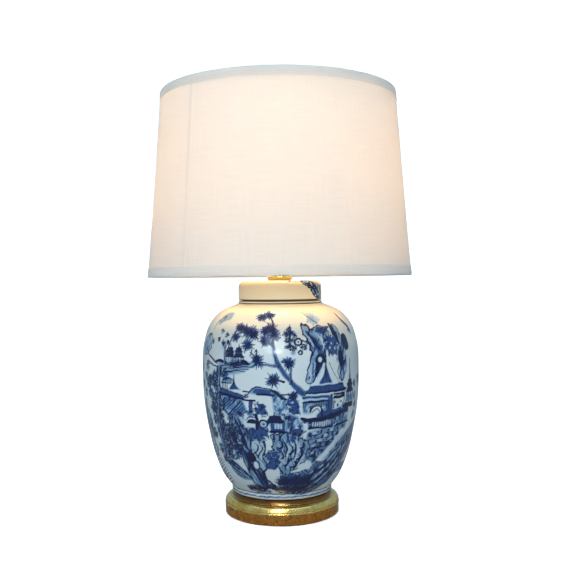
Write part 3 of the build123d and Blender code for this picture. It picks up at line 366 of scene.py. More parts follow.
def glowing_glass(colours, power):
    """The bulb's frosted glass, lit from inside: it gives off warm light, a little less towards its neck."""
    f = Finish("glowing_glass")
    low, high = (corner[2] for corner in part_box("bulb_glass"))
    frost = f.noise(3, 3.0)
    fuller = f.between(f.height(), low, low + 0.45 * (high - low), 0.35, 1.0)
    light = f.maths("MULTIPLY", fuller, f.drift(frost, 0.97, 1.03))
    return f.principled({"Base Color": four(shown(250, 244, 232)), "Roughness": f.drift(frost, 0.45, 0.6),
                         "Emission Color": four(colours.lamplight),
                         "Emission Strength": f.maths("MULTIPLY", light, power)})


def clear_glass(name, colour):
    """Clear glass, a little hazy in patches."""
    f = Finish(name)
    return f.principled({"Base Color": four(colour), "Transmission Weight": 1.0,
                         "Roughness": f.drift(f.noise(4), 0.02, 0.08), "IOR": 1.5})


# ------------------------------------------------------------------ what a user would change
def colour_property(name, description, red, green, blue):
    """A colour that a user can change; its default is as a screen shows it, 0 to 255."""
    return bpy.props.FloatVectorProperty(name=name, description=description, subtype="COLOR", size=3,
                                         min=0, max=1, default=shown(red, green, blue))


class LampColours(bpy.types.PropertyGroup):
    """The lamp's colours."""

    glaze_cool: colour_property("Glaze", "White body under the glaze", 206, 223, 232)
    glaze_warm: colour_property("Glaze, warm patches", "Where the glaze is thicker", 220, 226, 226)
    # Painted light: the warm lamplight on shoulder and lid, given as the glaze's colour.
    glaze_lamplit: colour_property("Glaze, lid", "The creamier glaze of shoulder and lid", 238, 230, 200)
    # Also the colour of the painted shadow at the gap under the lid's rim.
    rim: colour_property("Brown line", "At the shoulder and the lid's rim", 88, 72, 58)
    cobalt_thin: colour_property("Thin cobalt", "The palest wash", 150, 182, 208)
    cobalt_wash: colour_property("Cobalt wash", "The full wash in rocks and water", 84, 122, 164)
    cobalt_blue: colour_property("Cobalt", "Roofs, leaves and strong strokes", 40, 66, 126)
    cobalt_line: colour_property("Cobalt line", "The dark outlines", 18, 24, 64)
    gold: colour_property("Gold leaf", "Burnished leaf", 255, 230, 150)
    gold_deep: colour_property("Deep gold", "Where the leaf is lapped", 228, 182, 84)
    # Painted reflection: the darker leaf of the plinth's face, for the dark surroundings it mirrors.
    gold_plinth_dark_reflection: colour_property("Toned gold", "The plinth's face", 216, 140, 64)
    # Also the tint of the painted shade on the neck under the jar.
    clay: colour_property("Clay", "The red ground under the leaf", 112, 50, 26)
    linen: colour_property("Shade cloth", "The cloth by daylight", 250, 247, 243)
    linen_through: colour_property("Shade cloth, lit", "The light that comes through it", 243, 241, 243)
    tape: colour_property("Binding tape", "The tape round both rims", 250, 238, 228)
    lamplight: colour_property("Lamplight", "The bulb's light", 255, 203, 134)


class LampSizes(bpy.types.PropertyGroup):
    """Sizes of what is only seen, and the strength of the lights."""

    columns: bpy.props.IntProperty(name="Painted columns", default=500, min=90, max=500,
                                   description="Steps round the jar that hold its painting")
    rows: bpy.props.IntProperty(name="Painted rows", default=166, min=40, max=166,
                                description="Steps up the jar that hold its painting")
    cloth_thickness: bpy.props.FloatProperty(name="Shade thickness", default=1.0 * MM, unit="LENGTH",
                                             description="Cloth and liner together")
    tape_width: bpy.props.FloatProperty(name="Tape width", default=13.0 * MM, unit="LENGTH",
                                        description="Of the binding, on the shade's outside")
    bulb_light: bpy.props.FloatProperty(name="Bulb", default=90.0, min=0,
                                        description="Strength of the bulb's glow")
    studio_light: bpy.props.FloatProperty(name="Studio", default=1.0, min=0,
                                          description="Strength of all studio lights together")


# ------------------------------------------------------------------ the brush
FAR = 1000.0                 # mm, more than any distance on a piece
TINY = 1e-9                  # keeps a division by the length of an empty run finite


def way_along(outline):
    """How far along an outline each of its points lies."""
    return np.concatenate(([0], np.cumsum(np.hypot(*np.diff(outline, axis=0).T))))


def to_run(x, y, start, end):
    """How far each (x, y) lies from the straight run from start to end, and the share of the run that is
    passed at its nearest point."""
    off_x, off_y = x - start[0], y - start[1]
    run = end - start
    share = np.clip((off_x * run[0] + off_y * run[1]) / max(run @ run, TINY), 0, 1)
    return np.hypot(off_x - share * run[0], off_y - share * run[1]), share


class Glaze:
    """The painted side of a turned piece, unrolled: columns of angle, rows up the outline.

    Marks are laid in millimetres on the surface, in three layers of cobalt: wash is thinned and soft, blue is
    full strength, line is the dark outline. A mark's value falls from 1 to 0 across its edge over two cells.
    bare wipes every layer back to the white. Places are (degrees from the front, mm above the foot)."""

    def __init__(self, radii, heights, columns):
        self.angles = all_round(columns)
        self.heights = heights
        self.along = way_along(np.stack([radii, heights], axis=-1))
        self.degree = np.radians(1) * radii
        self.cell = max(self.degree.max() * 360 / columns, self.along[-1] / len(radii))
        self.paint = {layer: np.zeros((len(radii), columns)) for layer in ("wash", "blue", "line")}
        self.mask = None
        turn, rise = np.meshgrid(np.radians(self.angles), self.along)
        self.shake = (0.35 * np.sin(rise / 3.1 + 2 * np.sin(19 * turn)) + 0.25 * np.sin(41 * turn + rise / 7),
                      0.35 * np.sin(37 * turn + 2 * np.sin(rise / 9)) + 0.25 * np.sin(rise / 2.3 + 13 * turn))

    def up(self, height):
        """The way along the outline to a height above the foot."""
        return np.interp(height, self.heights, self.along)

    def local(self, places):
        """The first of some places, and all of them in mm across and up from it."""
        places = np.asarray(places, float)
        rise = self.up(places[:, 1])
        across = (places[:, 0] - places[0, 0]) * np.interp(rise, self.along, self.degree)
        return tuple(places[0]), np.stack([across, rise - rise[0]], axis=-1)

    def near(self, spot, reach):
        """The cells within reach mm of spot, and how far each lies across and up from it, with the hand's
        shake added."""
        rise = self.up(spot[1])
        rows = slice(*np.searchsorted(self.along, (rise - reach, rise + reach)))
        if rows.start == rows.stop:
            rows = slice(max(rows.start - 1, 0), rows.start + 1)
        off = (self.angles - spot[0] + 180) % 360 - 180
        columns = np.flatnonzero(np.abs(off) <= reach / self.degree[rows].min())
        across = off[columns][None, :] * self.degree[rows][:, None]
        above = np.broadcast_to((self.along[rows] - rise)[:, None], across.shape)
        return rows, columns, across + self.shake[0][rows, columns], above + self.shake[1][rows, columns]

    def cover(self, depth):
        """How much of a cell is painted that lies depth mm inside a mark's edge, 0 to 1."""
        return np.clip(0.5 + depth / (2 * self.cell), 0, 1)

    def lay(self, layer, rows, columns, depth, strength=1.0):
        """Lays paint where depth, the mm inside the mark's edge, is above zero."""
        cover = self.cover(depth)
        if self.mask is not None:
            cover = cover * self.mask[rows, columns]
        if layer == "bare":
            for paint in self.paint.values():
                paint[rows, columns] *= 1 - cover * strength
        else:
            paint = self.paint[layer]
            paint[rows, columns] = np.maximum(paint[rows, columns], cover * strength)

    def stroke(self, layer, spot, path, width, strength=1.0):
        """A brush stroke along path, in mm from spot. A cell's depth is the half width there less its
        distance from the nearest run of the path."""
        path = np.asarray(path, float)
        given = np.atleast_1d(width)
        half = np.interp(np.linspace(0, 1, len(path)), np.linspace(0, 1, len(given)), given) / 2
        rows, columns, x, y = self.near(spot, np.abs(path).max() + half.max() + 3)
        depth = np.full(x.shape, -FAR)
        for start, end, wide, after in zip(path[:-1], path[1:], half[:-1], half[1:]):
            gap, share = to_run(x, y, start, end)
            depth = np.maximum(depth, wide + (after - wide) * share - gap)
        self.lay(layer, rows, columns, depth, strength)

    def line(self, layer, places, width=1.5, strength=1.0, curved=True):
        """A stroke through places, smooth unless curved is off."""
        spot, path = self.local(places)
        self.stroke(layer, spot, smooth_path(path) if curved and len(path) > 2 else path, width, strength)

    def inside(self, corners, x, y):
        """How many mm each (x, y) lies inside the closed outline: the distance to the nearest side, counted
        as minus outside. A point is inside if a level line from it crosses the outline an odd number of
        times."""
        gap = np.full(x.shape, FAR)
        odd = np.zeros(x.shape, bool)
        for start, end in zip(corners, np.roll(corners, -1, axis=0)):
            gap = np.minimum(gap, to_run(x, y, start, end)[0])
            (ax, ay), (bx, by) = start, end
            crosses = (ay > y) != (by > y)
            odd ^= crosses & (x < ax + (bx - ax) * (y - ay) / ((by - ay) or TINY))
        return np.where(odd, gap, -gap)

    def shape(self, layer, spot, corners, strength=1.0, curved=False):
        """Fills the outline whose corners are in mm from spot."""
        corners = smooth_ring(corners) if curved else np.asarray(corners, float)
        rows, columns, x, y = self.near(spot, np.abs(corners).max() + 4)
        self.lay(layer, rows, columns, self.inside(corners, x, y), strength)

    def area(self, layer, places, strength=1.0, curved=False):
        """Fills the outline through places."""
        spot, corners = self.local(places)
        self.shape(layer, spot, corners, strength, curved)

    def coats(self, places, *layers):
        """Fills the outline through places in one layer after another."""
        for layer in layers:
            self.area(layer, places)

    def only_in(self, places, curved=True):
        """Keeps the marks that follow inside the outline through places, until the mask is taken off."""
        spot, corners = self.local(places)
        if curved:
            corners = smooth_ring(corners)
        rows, columns, x, y = self.near(spot, np.abs(corners).max() + 4)
        self.mask = np.zeros(self.paint["wash"].shape)
        self.mask[rows, columns] = self.cover(self.inside(corners, x, y))

    def ragged(self, rng, places, rough=1.2):
        """The smooth outline through places, its points shaken by about rough mm, as places again."""
        spot, corners = self.local(places)
        path = smooth_ring(corners)
        path = path + rng.normal(0, rough, path.shape)
        rise = self.up(spot[1]) + path[:, 1]
        degrees = spot[0] + path[:, 0] / np.interp(rise, self.along, self.degree)
        return list(zip(degrees, np.interp(rise, self.along, self.heights)))


# ------------------------------------------------------------------ motifs
def way(degrees, length=1.0):
    """A step of length mm, at an angle from straight up, clockwise."""
    return length * np.array([math.sin(math.radians(degrees)), math.cos(math.radians(degrees))])


def oval(wide, tall):
    """An oval round the middle, wide and tall mm across."""
    turn = np.linspace(0, math.tau, 14, endpoint=False)
    return np.stack([wide / 2 * np.cos(turn), tall / 2 * np.sin(turn)], axis=-1)


def pine_tuft(g, rng, spot, size, needles=19, layer="blue"):
    """A burst of pine needles: strokes from the middle out, each of its own length, over a pale ground and
    with a dark heart. In the wash layer it is a faint one, further off."""
    if layer == "wash":
        for turn in np.linspace(0, 360, needles, endpoint=False):
            g.stroke("wash", spot, [way(turn, 1), way(turn, size * rng.uniform(0.7, 1.1))], (2.6, 1.2), 0.9)
        return
    g.shape("wash", spot, oval(1.3 * size, 1.15 * size), 0.75)
    for i in range(needles):
        turn = (i + rng.uniform(-0.4, 0.4)) * 360 / needles
        reach = size * rng.uniform(0.6, 1.12)
        g.stroke("blue", spot, [way(turn, 1), way(turn, reach)], (2.6, 1.1))
        if i % 3:
            g.stroke("line", spot, [way(turn, 0.5), way(turn, 0.68 * reach)], (2.2, 0.9))


def pine_tufts(g, rng, tufts):
    """Bursts of needles, each given as (degrees, height, size)."""
    for deg, height, size in tufts:
        pine_tuft(g, rng, (deg, height), size)


def leaves(g, rng, spot, wide, tall, count, size=4.2, dark=0.5, ground=0.6):
    """A clump of foliage: dabs of the brush scattered in an oval over a thin wash, some of them dark."""
    if ground:
        g.shape("wash", spot, oval(0.9 * wide, 0.9 * tall), ground)
    for turn, out, lean, tone in rng.uniform(0, 1, (count, 4)):
        middle = way(360 * turn) * math.sqrt(out) * np.array([wide / 2, tall / 2])
        half = way(360 * lean, size / 2)
        g.stroke("line" if tone < dark else "blue", spot, [middle - half, middle + half], (1.2, 2.6, 1.2))


def thicket(g, rng, spots, wide, tall, *brush):
    """Clumps of foliage of one size at several spots."""
    for spot in spots:
        leaves(g, rng, spot, wide, tall, *brush)


def mottle(g, rng, outline, tone, dabs, size, dark, light, lean=None, curved=True):
    """A broken mass of leaves, stone or plots: a washed outline filled with dabs. The share dark of them is
    in the outline's colour, the share light is wiped back to white, and the rest are blue."""
    g.area("wash", outline, tone, curved)
    g.only_in(outline, curved)
    spot, corners = g.local(outline)
    low, high = corners.min(axis=0), corners.max(axis=0)
    for over, up, turn, kind in rng.uniform(0, 1, (dabs, 4)):
        middle = low + np.array([over, up]) * (high - low)
        half = way(360 * turn if lean is None else lean + 50 * (turn - 0.5), size / 2)
        layer = "line" if kind < dark else "bare" if kind > 1 - light else "blue"
        g.stroke(layer, spot, [middle - half, middle + half], (1.2, 0.55 * size, 1.2))
    g.mask = None


def clump(g, rng, outline, dabs, dark=0.7):
    """A dense dark head of leaves: a blue mass with a ragged edge, dabbed over."""
    outline = g.ragged(rng, outline, 1.6)
    g.coats(outline, "bare", "blue")
    mottle(g, rng, outline, 1.0, dabs, 4.6, dark, 0.08, curved=False)
    spot, corners = g.local(outline)
    for corner in corners[::2]:
        half = way(rng.uniform(0, 360), 2.2)
        g.stroke("line", spot, [corner - half, corner + half], (1.2, 2.4, 1.2))


def trunk(g, places, width=(4.6, 2.4)):
    """A trunk or branch: one dark stroke, its middle wiped and washed in again with a broken mid blue."""
    wide = np.asarray(width, float)
    g.line("line", places, wide)
    if wide.max() > 3.4:
        shifted = [(deg - 0.25, up + 0.3) for deg, up in places]
        g.line("bare", shifted, np.maximum(wide - 3.0, 0.6))
        g.line("wash", shifted, np.maximum(wide - 1.4, 0.6), 1.0)
        g.line("blue", shifted, np.maximum(wide - 3.0, 0.9))


# A rock's streaks in turn: their layer and their width in mm.
STREAKS = (("blue", 4.8), ("line", 2.6), ("bare", 1.6), ("blue", 3.2), ("line", 1.7), ("blue", 4.2),
           ("line", 2.2), ("bare", 1.3))


def rock(g, rng, outline, streaks, lean, length, tone, edge):
    """A weathered rock: a washed, ragged outline with a dark edge, and streaks that lean the same way, some
    of them wiped back to white."""
    outline = g.ragged(rng, outline)
    g.area("bare", outline)
    g.area("wash", outline, tone)
    g.only_in(outline, curved=False)
    spot, corners = g.local(outline)
    low, high = corners.min(axis=0), corners.max(axis=0)
    for i in range(int(2.6 * streaks)):
        middle = low + rng.uniform(0.05, 0.95, 2) * (high - low)
        half = way(lean + rng.uniform(-14, 14), length * rng.uniform(0.2, 0.5))
        bow = way(lean + 90, rng.uniform(-3, 3))
        layer, wide = STREAKS[i % len(STREAKS)]
        g.stroke(layer, spot, smooth_path([middle - half, middle + bow, middle + half]), (0.9, wide, 0.9))
    g.mask = None
    g.line("line", outline + outline[:1], edge * rng.uniform(0.5, 1.3, 12), curved=False)


def hole(g, spot, wide, tall, rim):
    """An oval left white, with a dark rim outside it."""
    g.shape("line", spot, oval(wide + 2 * rim, tall + 2 * rim))
    g.shape("bare", spot, oval(wide, tall))


def slab(g, layer, left, right, low, high, strength=1.0):
    """An upright block with four straight sides."""
    g.area(layer, [(left, low), (right, low), (right, high), (left, high)], strength)


def roof(g, left, right, eave, ridge, inset=0.18, tiles=9, layer="blue"):
    """A tiled roof with upturned eaves. inset is the share of its width by which each end of the ridge is
    drawn in, tiles the number of tile lines."""
    wide, tall = right - left, ridge - eave
    a, b = left + inset * wide, right - inset * wide
    outline = [(left, eave + 0.3 * tall), (left + 0.1 * wide, eave), (right - 0.1 * wide, eave),
               (right, eave + 0.3 * tall), (right - 0.7 * inset * wide, eave + 0.5 * tall), (b, ridge),
               (a, ridge), (left + 0.7 * inset * wide, eave + 0.5 * tall)]
    g.coats(outline, "bare", "wash", layer)
    for share in np.linspace(0.05, 0.95, tiles):
        g.line("line", [(a + share * (b - a), ridge), (left + share * wide, eave)], 1.0)
    g.line("line", [(a, ridge), (b, ridge)], 2.0)
    g.line("line", outline[:4], 1.4, curved=False)


def posts(g, left, right, low, high, count, width=1.4):
    """Upright lines, evenly spaced."""
    for deg in np.linspace(left, right, count):
        g.line("line", [(deg, low), (deg, high)], width)


def levels(g, left, right, heights, width, layer="line"):
    """Level lines, one at each height."""
    for height in heights:
        g.line(layer, [(left, height), ((left + right) / 2, height), (right, height)], width)


def windows(g, left, right, low, high, count, layer="bare"):
    """Small openings side by side, each two thirds of its share of the width."""
    pitch = (right - left) / count
    for deg in left + pitch * (np.arange(count) + 0.18):
        slab(g, layer, deg, deg + 0.62 * pitch, low, high)


def archway(g, left, right, low, high, rim):
    """An opening with a round head: straight sides up to half its height, then half an oval."""
    half = (right - left) / 2
    head = [(left + half + half * math.cos(t), low + 0.5 * (high - low) * (1 + math.sin(t)))
            for t in np.linspace(0, math.pi, 7)]
    g.area("bare", [(left, low), (right, low)] + head)
    g.line("line", [(left, low)] + head[::-1] + [(right, low)], rim)


def spire(g, middle, half, low, high, tip):
    """A roof drawn up to a point: its half width is half times (1 - share of the height) to the power 1.9."""
    share = np.linspace(0, 1, 7)
    drawn = half * (1 - share) ** 1.9
    level = low + share * (high - low)
    outline = list(zip(middle - drawn, level)) + list(zip(middle + drawn, level))[::-1]
    g.coats(outline, "bare", "wash", "blue")
    for lean in (-0.6, 0.0, 0.6):
        g.line("line", [(middle + lean * half, low), (middle + 0.3 * lean * half, low + 0.45 * (high - low)),
                        (middle, high)], 1.1)
    g.line("line", [(middle, high - 6), (middle, high + tip)], (2.2, 1.2))


def tower(g, middle, low, storeys, half, storey):
    """A slim tower of storeys, each narrower than the last, with a small roof over each and a needle on
    top."""
    for i in range(storeys):
        side = half * (1 - 0.17 * i)
        foot = low + i * storey
        slab(g, "bare", middle - side, middle + side, foot, foot + storey)
        slab(g, "wash", middle - 0.7 * side, middle + 0.7 * side, foot, foot + 0.6 * storey, 0.5)
        posts(g, middle - 0.7 * side, middle + 0.7 * side, foot, foot + 0.6 * storey, 3)
        roof(g, middle - 1.5 * side, middle + 1.5 * side, foot + 0.55 * storey, foot + storey, 0.3, 3)
    top = low + storeys * storey
    g.line("line", [(middle, top), (middle, top + 1.6 * storey)], (2.4, 1.1))


def ripples(g, rng, left, right, low, high, count):
    """Still water: short level strokes with a little sag, in thin paint."""
    for deg, up, run in rng.uniform(0, 1, (count, 3)):
        start = left + deg * (right - left)
        height = low + up * (high - low)
        run = 3 + 6 * run
        g.line("wash", [(start - run, height), (start, height - 0.8), (start + run, height)],
               (0.8, 1.4, 0.8), 0.75)


def grass(g, rng, spot, blades=9, tall=12, wide=9, lean=0):
    """A tuft of blades that fan out from a short foot."""
    for i in range(blades):
        share = i / max(blades - 1, 1) - 0.5
        foot = np.array([0.4 * wide * share, 0.0])
        tip = foot + way(lean + 80 * share, tall * rng.uniform(0.7, 1.0))
        g.stroke("line" if i % 2 else "blue", spot, smooth_path([foot, (foot + tip) / 2 + (0, 1), tip], 3),
                 (1.7, 0.9))


def hatch(g, rng, outline, spacing=3.0, lean=45, layer="line", width=1.3, broken=0.25):
    """Parallel strokes across an outline, broken off here and there."""
    g.only_in(outline)
    spot, corners = g.local(outline)
    middle = (corners.min(axis=0) + corners.max(axis=0)) / 2
    reach = np.hypot(*(corners.max(axis=0) - corners.min(axis=0))) / 2
    for off in np.arange(-reach, reach, spacing):
        at = middle + way(lean + 90, off)
        cuts = np.sort(rng.uniform(-1, 1, 2)) if rng.uniform() < broken else (-1, 1)
        path = [at + way(lean, cut * reach) for cut in np.linspace(cuts[0], cuts[1], 5)]
        path = np.array(path) + rng.uniform(-0.5, 0.5, (5, 2))
        g.stroke(layer, spot, path, (0.9, width, 0.9))
    g.mask = None


def bank(g, rng, outline, spacing=3.2, lean=60, tone=0.85):
    """Sloping ground: a washed outline hatched along its slope, with a dark edge."""
    g.area("bare", outline, curved=True)
    g.area("wash", outline, tone, curved=True)
    hatch(g, rng, outline, spacing, lean, "blue", 2.2)
    hatch(g, rng, outline, 1.6 * spacing, lean + 6, "line", 1.5)
    g.line("line", outline + outline[:1], 1.5)


def islet(g, rng, left, right, shore, hill):
    """Far land: a low mound in thin paint, with long level shore lines under it."""
    middle = (left + right) / 2
    mound = [(left, shore), (left + 0.25 * (right - left), shore + 0.7 * hill), (middle, shore + hill),
             (right - 0.2 * (right - left), shore + 0.5 * hill), (right, shore)]
    g.area("wash", mound, 0.62, curved=True)
    g.line("blue", mound, (1.0, 1.6, 1.0))
    for i in range(4):
        end = right + rng.uniform(-3, 3)
        g.line("blue" if i % 2 else "line", [(left - 2 * i, shore - 2.6 * i), (middle, shore - 2.6 * i - 1.5),
                                             (end, shore - 2.6 * i)], (0.9, 1.7, 0.8))


def house(g, left, right, low, high, roof_high, count=3):
    """A small house: a washed wall with posts and bare windows, and its roof."""
    slab(g, "bare", left, right, low, high)
    slab(g, "wash", left, right, low, high, 0.45)
    posts(g, left, right, low, high, count)
    levels(g, left, right, (low,), 1.5)
    wide = right - left
    roof(g, left - 0.18 * wide, right + 0.18 * wide, high, roof_high, 0.22, 2 * count)


def bridge(g, left, right, low, rise):
    """A bridge of one span: two bowed lines with posts between them."""
    share = np.linspace(0, 1, 7)
    bow = 4 * rise * share * (1 - share)
    deck = [(left + s * (right - left), low + b) for s, b in zip(share, bow)]
    rail = [(deg, up + 5) for deg, up in deck]
    g.line("line", deck, 2.0)
    g.line("line", rail, 1.3)
    for (deg, up), (_, top) in zip(deck, rail):
        g.line("line", [(deg, up), (deg, top)], 1.2)
    g.line("blue", [(deg, up - 2.6) for deg, up in deck], 1.6)


def boat(g, spot, length=20):
    """A boat under a matting cover, with its reflection below."""
    half = length / 2
    g.stroke("line", spot, smooth_path([(-half, 2.5), (-0.5 * half, -0.5), (0.5 * half, -0.5), (half, 3)]),
             (1.2, 3.2, 1.2))
    g.stroke("blue", spot, smooth_path([(-0.4 * half, 1), (0, 5.5), (0.45 * half, 1)]), 2.4)
    g.stroke("line", spot, [(-0.1 * half, 5), (-0.25 * half, 14)], 1.2)
    g.stroke("wash", spot, [(-0.8 * half, -4), (0.7 * half, -4)], (0.8, 1.8, 0.8), 0.8)


def birds(g, places, size=3.2):
    """Birds far off: two strokes each, the left wing and the right."""
    for spot in places:
        g.stroke("line", spot, smooth_path([(-size, 1.2), (-0.3 * size, 1.4), (0, 0)]), (0.8, 1.4))
        g.stroke("line", spot, smooth_path([(0, 0), (0.4 * size, 1.6), (size, 1.8)]), (1.4, 0.8))


# ------------------------------------------------------------------ the landscape
def paint_far_shore(g, rng):
    """Upper left: an island with tiered pavilions, its shore lines, and a small dark tree before it."""
    g.area("wash", [(-52, 205), (-40, 208), (-24, 208), (-18, 202), (-26, 192), (-45, 189)], 0.66, True)
    for middle, half in ((-37, 3.6), (-30, 3.8)):
        slab(g, "bare", middle - half, middle + half, 206, 213)
        posts(g, middle - half, middle + half, 205, 214, 5, 1.4)
        roof(g, middle - 1.2 * half, middle + 1.2 * half, 212, 218, 0.2, 3, "line")
        roof(g, middle - 0.8 * half, middle + 0.8 * half, 219, 225, 0.2, 3, "line")
        g.line("line", [(middle, 223), (middle, 232)], (2.4, 1.2))
    mottle(g, rng, [(-41, 203), (-38, 208), (-26, 208), (-20, 203), (-30, 199)], 1.0, 18, 4, 0.6, 0.1)
    for left, right, height, wide in ((-53, -40, 205, 5.4), (-45, -21, 203, 2.8), (-47, -19, 199.5, 2.6),
                                      (-44, -22, 196, 2.0), (-40, -25, 192.5, 2.0), (-47, -33, 190, 1.8)):
        g.line("line", [(left, height - 1), ((left + right) / 2, height + 0.8), (right, height - 0.6)],
               (0.9, wide, 0.9))
    g.area("line", [(-29, 203), (-27, 209), (-24.5, 208.5), (-21.5, 203)], curved=True)
    g.line("line", [(-67, 217), (-57, 208), (-51, 202)], (1.8, 3.0, 2.2))
    g.line("line", [(-64, 206), (-58, 200), (-51, 197)], (1.4, 2.6, 1.6))
    trunk(g, [(-42, 200), (-42.4, 214), (-42.2, 228)], (4.6, 3.2))
    g.line("line", [(-41, 217), (-39, 229), (-37, 240)], (2.8, 1.4))
    for deg, height, wide, tall in ((-44.5, 229, 10, 14), (-48, 248, 8, 7), (-43, 243, 8, 7),
                                    (-50.5, 236, 7, 7), (-58, 233, 7, 8), (-40.5, 233, 6, 6)):
        leaves(g, rng, (deg, height), wide, tall, 12, 4, 0.85, 0.5)
    rock(g, rng, [(-73, 236), (-65, 243), (-60, 231), (-62, 216), (-71, 212)], 5, 4, 22, 0.85, 1.8)
    g.area("wash", [(-60, 262), (-56, 273), (-47, 275), (-45, 266), (-51, 262), (-57, 257)], 0.75, True)
    leaves(g, rng, (-54, 267), 12, 10, 7, 4.4, 0.3, 0)
    g.line("blue", [(-60, 263), (-62, 249)], (2.4, 1.2))


def paint_pine(g, rng):
    """The tall pine over the water: its trunk leans from the buildings up to the left, with bursts of
    needles."""
    trunk(g, [(15, 161), (9.5, 172), (4.5, 184), (1, 194), (-2.4, 205), (-4, 217), (-5.6, 232)],
          (9.0, 8.5, 7.5, 7.0, 6.5, 5.6, 4.6))
    trunk(g, [(-2, 201), (-7, 202), (-13, 203)], (5.2, 3.8))
    trunk(g, [(6, 176), (6.6, 187), (6.8, 201)], (4.6, 3.2))
    g.line("line", [(2, 178), (-1, 180.5), (-4, 181)], (3.0, 2.2))
    g.line("line", [(-5.6, 230), (-5, 246), (-6, 262), (-9, 270)], (3.6, 2.6, 1.8))
    g.line("line", [(-5.5, 228), (-9, 235)], 2.6)
    for tip in ((-20.5, 219), (-17, 221)):
        g.line("line", [(-15.5, 209), tip], (2.4, 1.6))
        leaves(g, rng, tip, 5, 5, 4, 3.4, 0.7, 0)
    pine_tufts(g, rng, (
        (-23.5, 248, 13), (-19.5, 246, 10), (-32, 254, 10), (-34, 241, 9), (-23.5, 230, 12), (-16, 208, 13),
        (-5, 181, 13), (-10.5, 236, 12), (-4.5, 242, 10), (-7, 253, 12), (-11, 250, 9), (-15, 269, 10),
        (-9, 272, 11), (5.3, 205.5, 12), (8.5, 158, 9), (-27, 252, 9)))
    pine_tuft(g, rng, (27, 266), 11, 15, "wash")
    g.line("blue", [(19, 275), (24, 268), (30, 258)], (1.4, 2.0, 1.6))


def paint_left_grove(g, rng):
    """Left edge: a dark column of leaves, a domed pavilion, long low roofs and the hatched slope under
    them."""
    thicket(g, rng, (
        (-42.5, 187), (-48, 190), (-53, 182), (-58.5, 177), (-62, 171), (-52, 168), (-47, 162), (-59, 156),
        (-50, 153), (-55, 144), (-47, 142), (-57, 135), (-52, 131), (-49, 121), (-55, 117), (-46, 110),
        (-52, 103), (-44, 95), (-50, 90), (-45, 77), (-54, 76), (-61, 96)), 17, 17, 30, 5.4, 0.8, 1.0)
    trunk(g, [(-50, 70), (-51, 110), (-49, 150), (-47, 198)], (6.0, 4.4))
    slab(g, "bare", -46, -38, 165, 176)
    g.area("wash", [(-46, 174), (-43, 181), (-38, 183), (-34, 178)], 1.0, curved=True)
    g.line("line", [(-46, 173), (-43, 180), (-38, 182), (-34.5, 178)], (1.2, 2.0, 1.2))
    g.line("line", [(-45, 174), (-36, 175)], 1.6)
    posts(g, -45, -40, 165, 174, 4)
    spire(g, -34, 4.8, 166, 181, 6)
    band = [(-48, 167), (-37, 163), (-26.5, 158), (-26.5, 152), (-37, 155), (-48, 158)]
    g.coats(band, "bare", "wash", "blue")
    g.line("line", [(-48, 159), (-37, 156), (-26.5, 152.5)], (3.4, 4.4, 2.8))
    g.line("line", [(-48, 167), (-37, 163), (-26.5, 158)], 1.6)
    far_roof = [(-22.5, 161), (-20, 169), (-17, 171), (-6.5, 168), (-5.5, 160)]
    g.area("wash", far_roof, 1.0)
    g.area("blue", [(-20, 163), (-18, 169), (-7, 167), (-6, 160)])
    g.line("line", far_roof[:4], 1.7, curved=False)
    g.line("line", [(-17, 161), (-11, 160.5), (-5, 160)], (2.6, 3.4, 2.6))
    g.line("line", [(-27, 164.5), (-22, 163)], 2.0)
    leaves(g, rng, (-24.5, 158), 7, 6, 8, 3.8, 0.8, 0.6)
    g.line("line", [(-27, 152), (-18, 151.5)], 2.8)
    g.line("blue", [(-21.7, 151), (-21.7, 137)], 5.0)
    g.line("line", [(-20.4, 151), (-20.4, 138)], 1.8)
    slope = [(-46, 155), (-28, 151), (-24.5, 138), (-31, 126), (-44, 130)]
    mottle(g, rng, slope, 1.0, 26, 5, 0.25, 0.25)
    hatch(g, rng, slope, 3.6, 52, "blue", 2.4)
    hatch(g, rng, slope, 7.0, 48, "line", 1.8)
    clump(g, rng, [(-19, 147), (-15, 149), (-11, 146), (-10.5, 136), (-12, 129), (-17, 133)], 26)
    leaves(g, rng, (-22, 133), 13, 11, 16, 4.4, 0.5, 0.9)
    leaves(g, rng, (-37, 124), 22, 12, 24, 4.6, 0.7, 0.9)
    leaves(g, rng, (-30, 128), 14, 12, 16, 4.6, 0.8, 0.9)


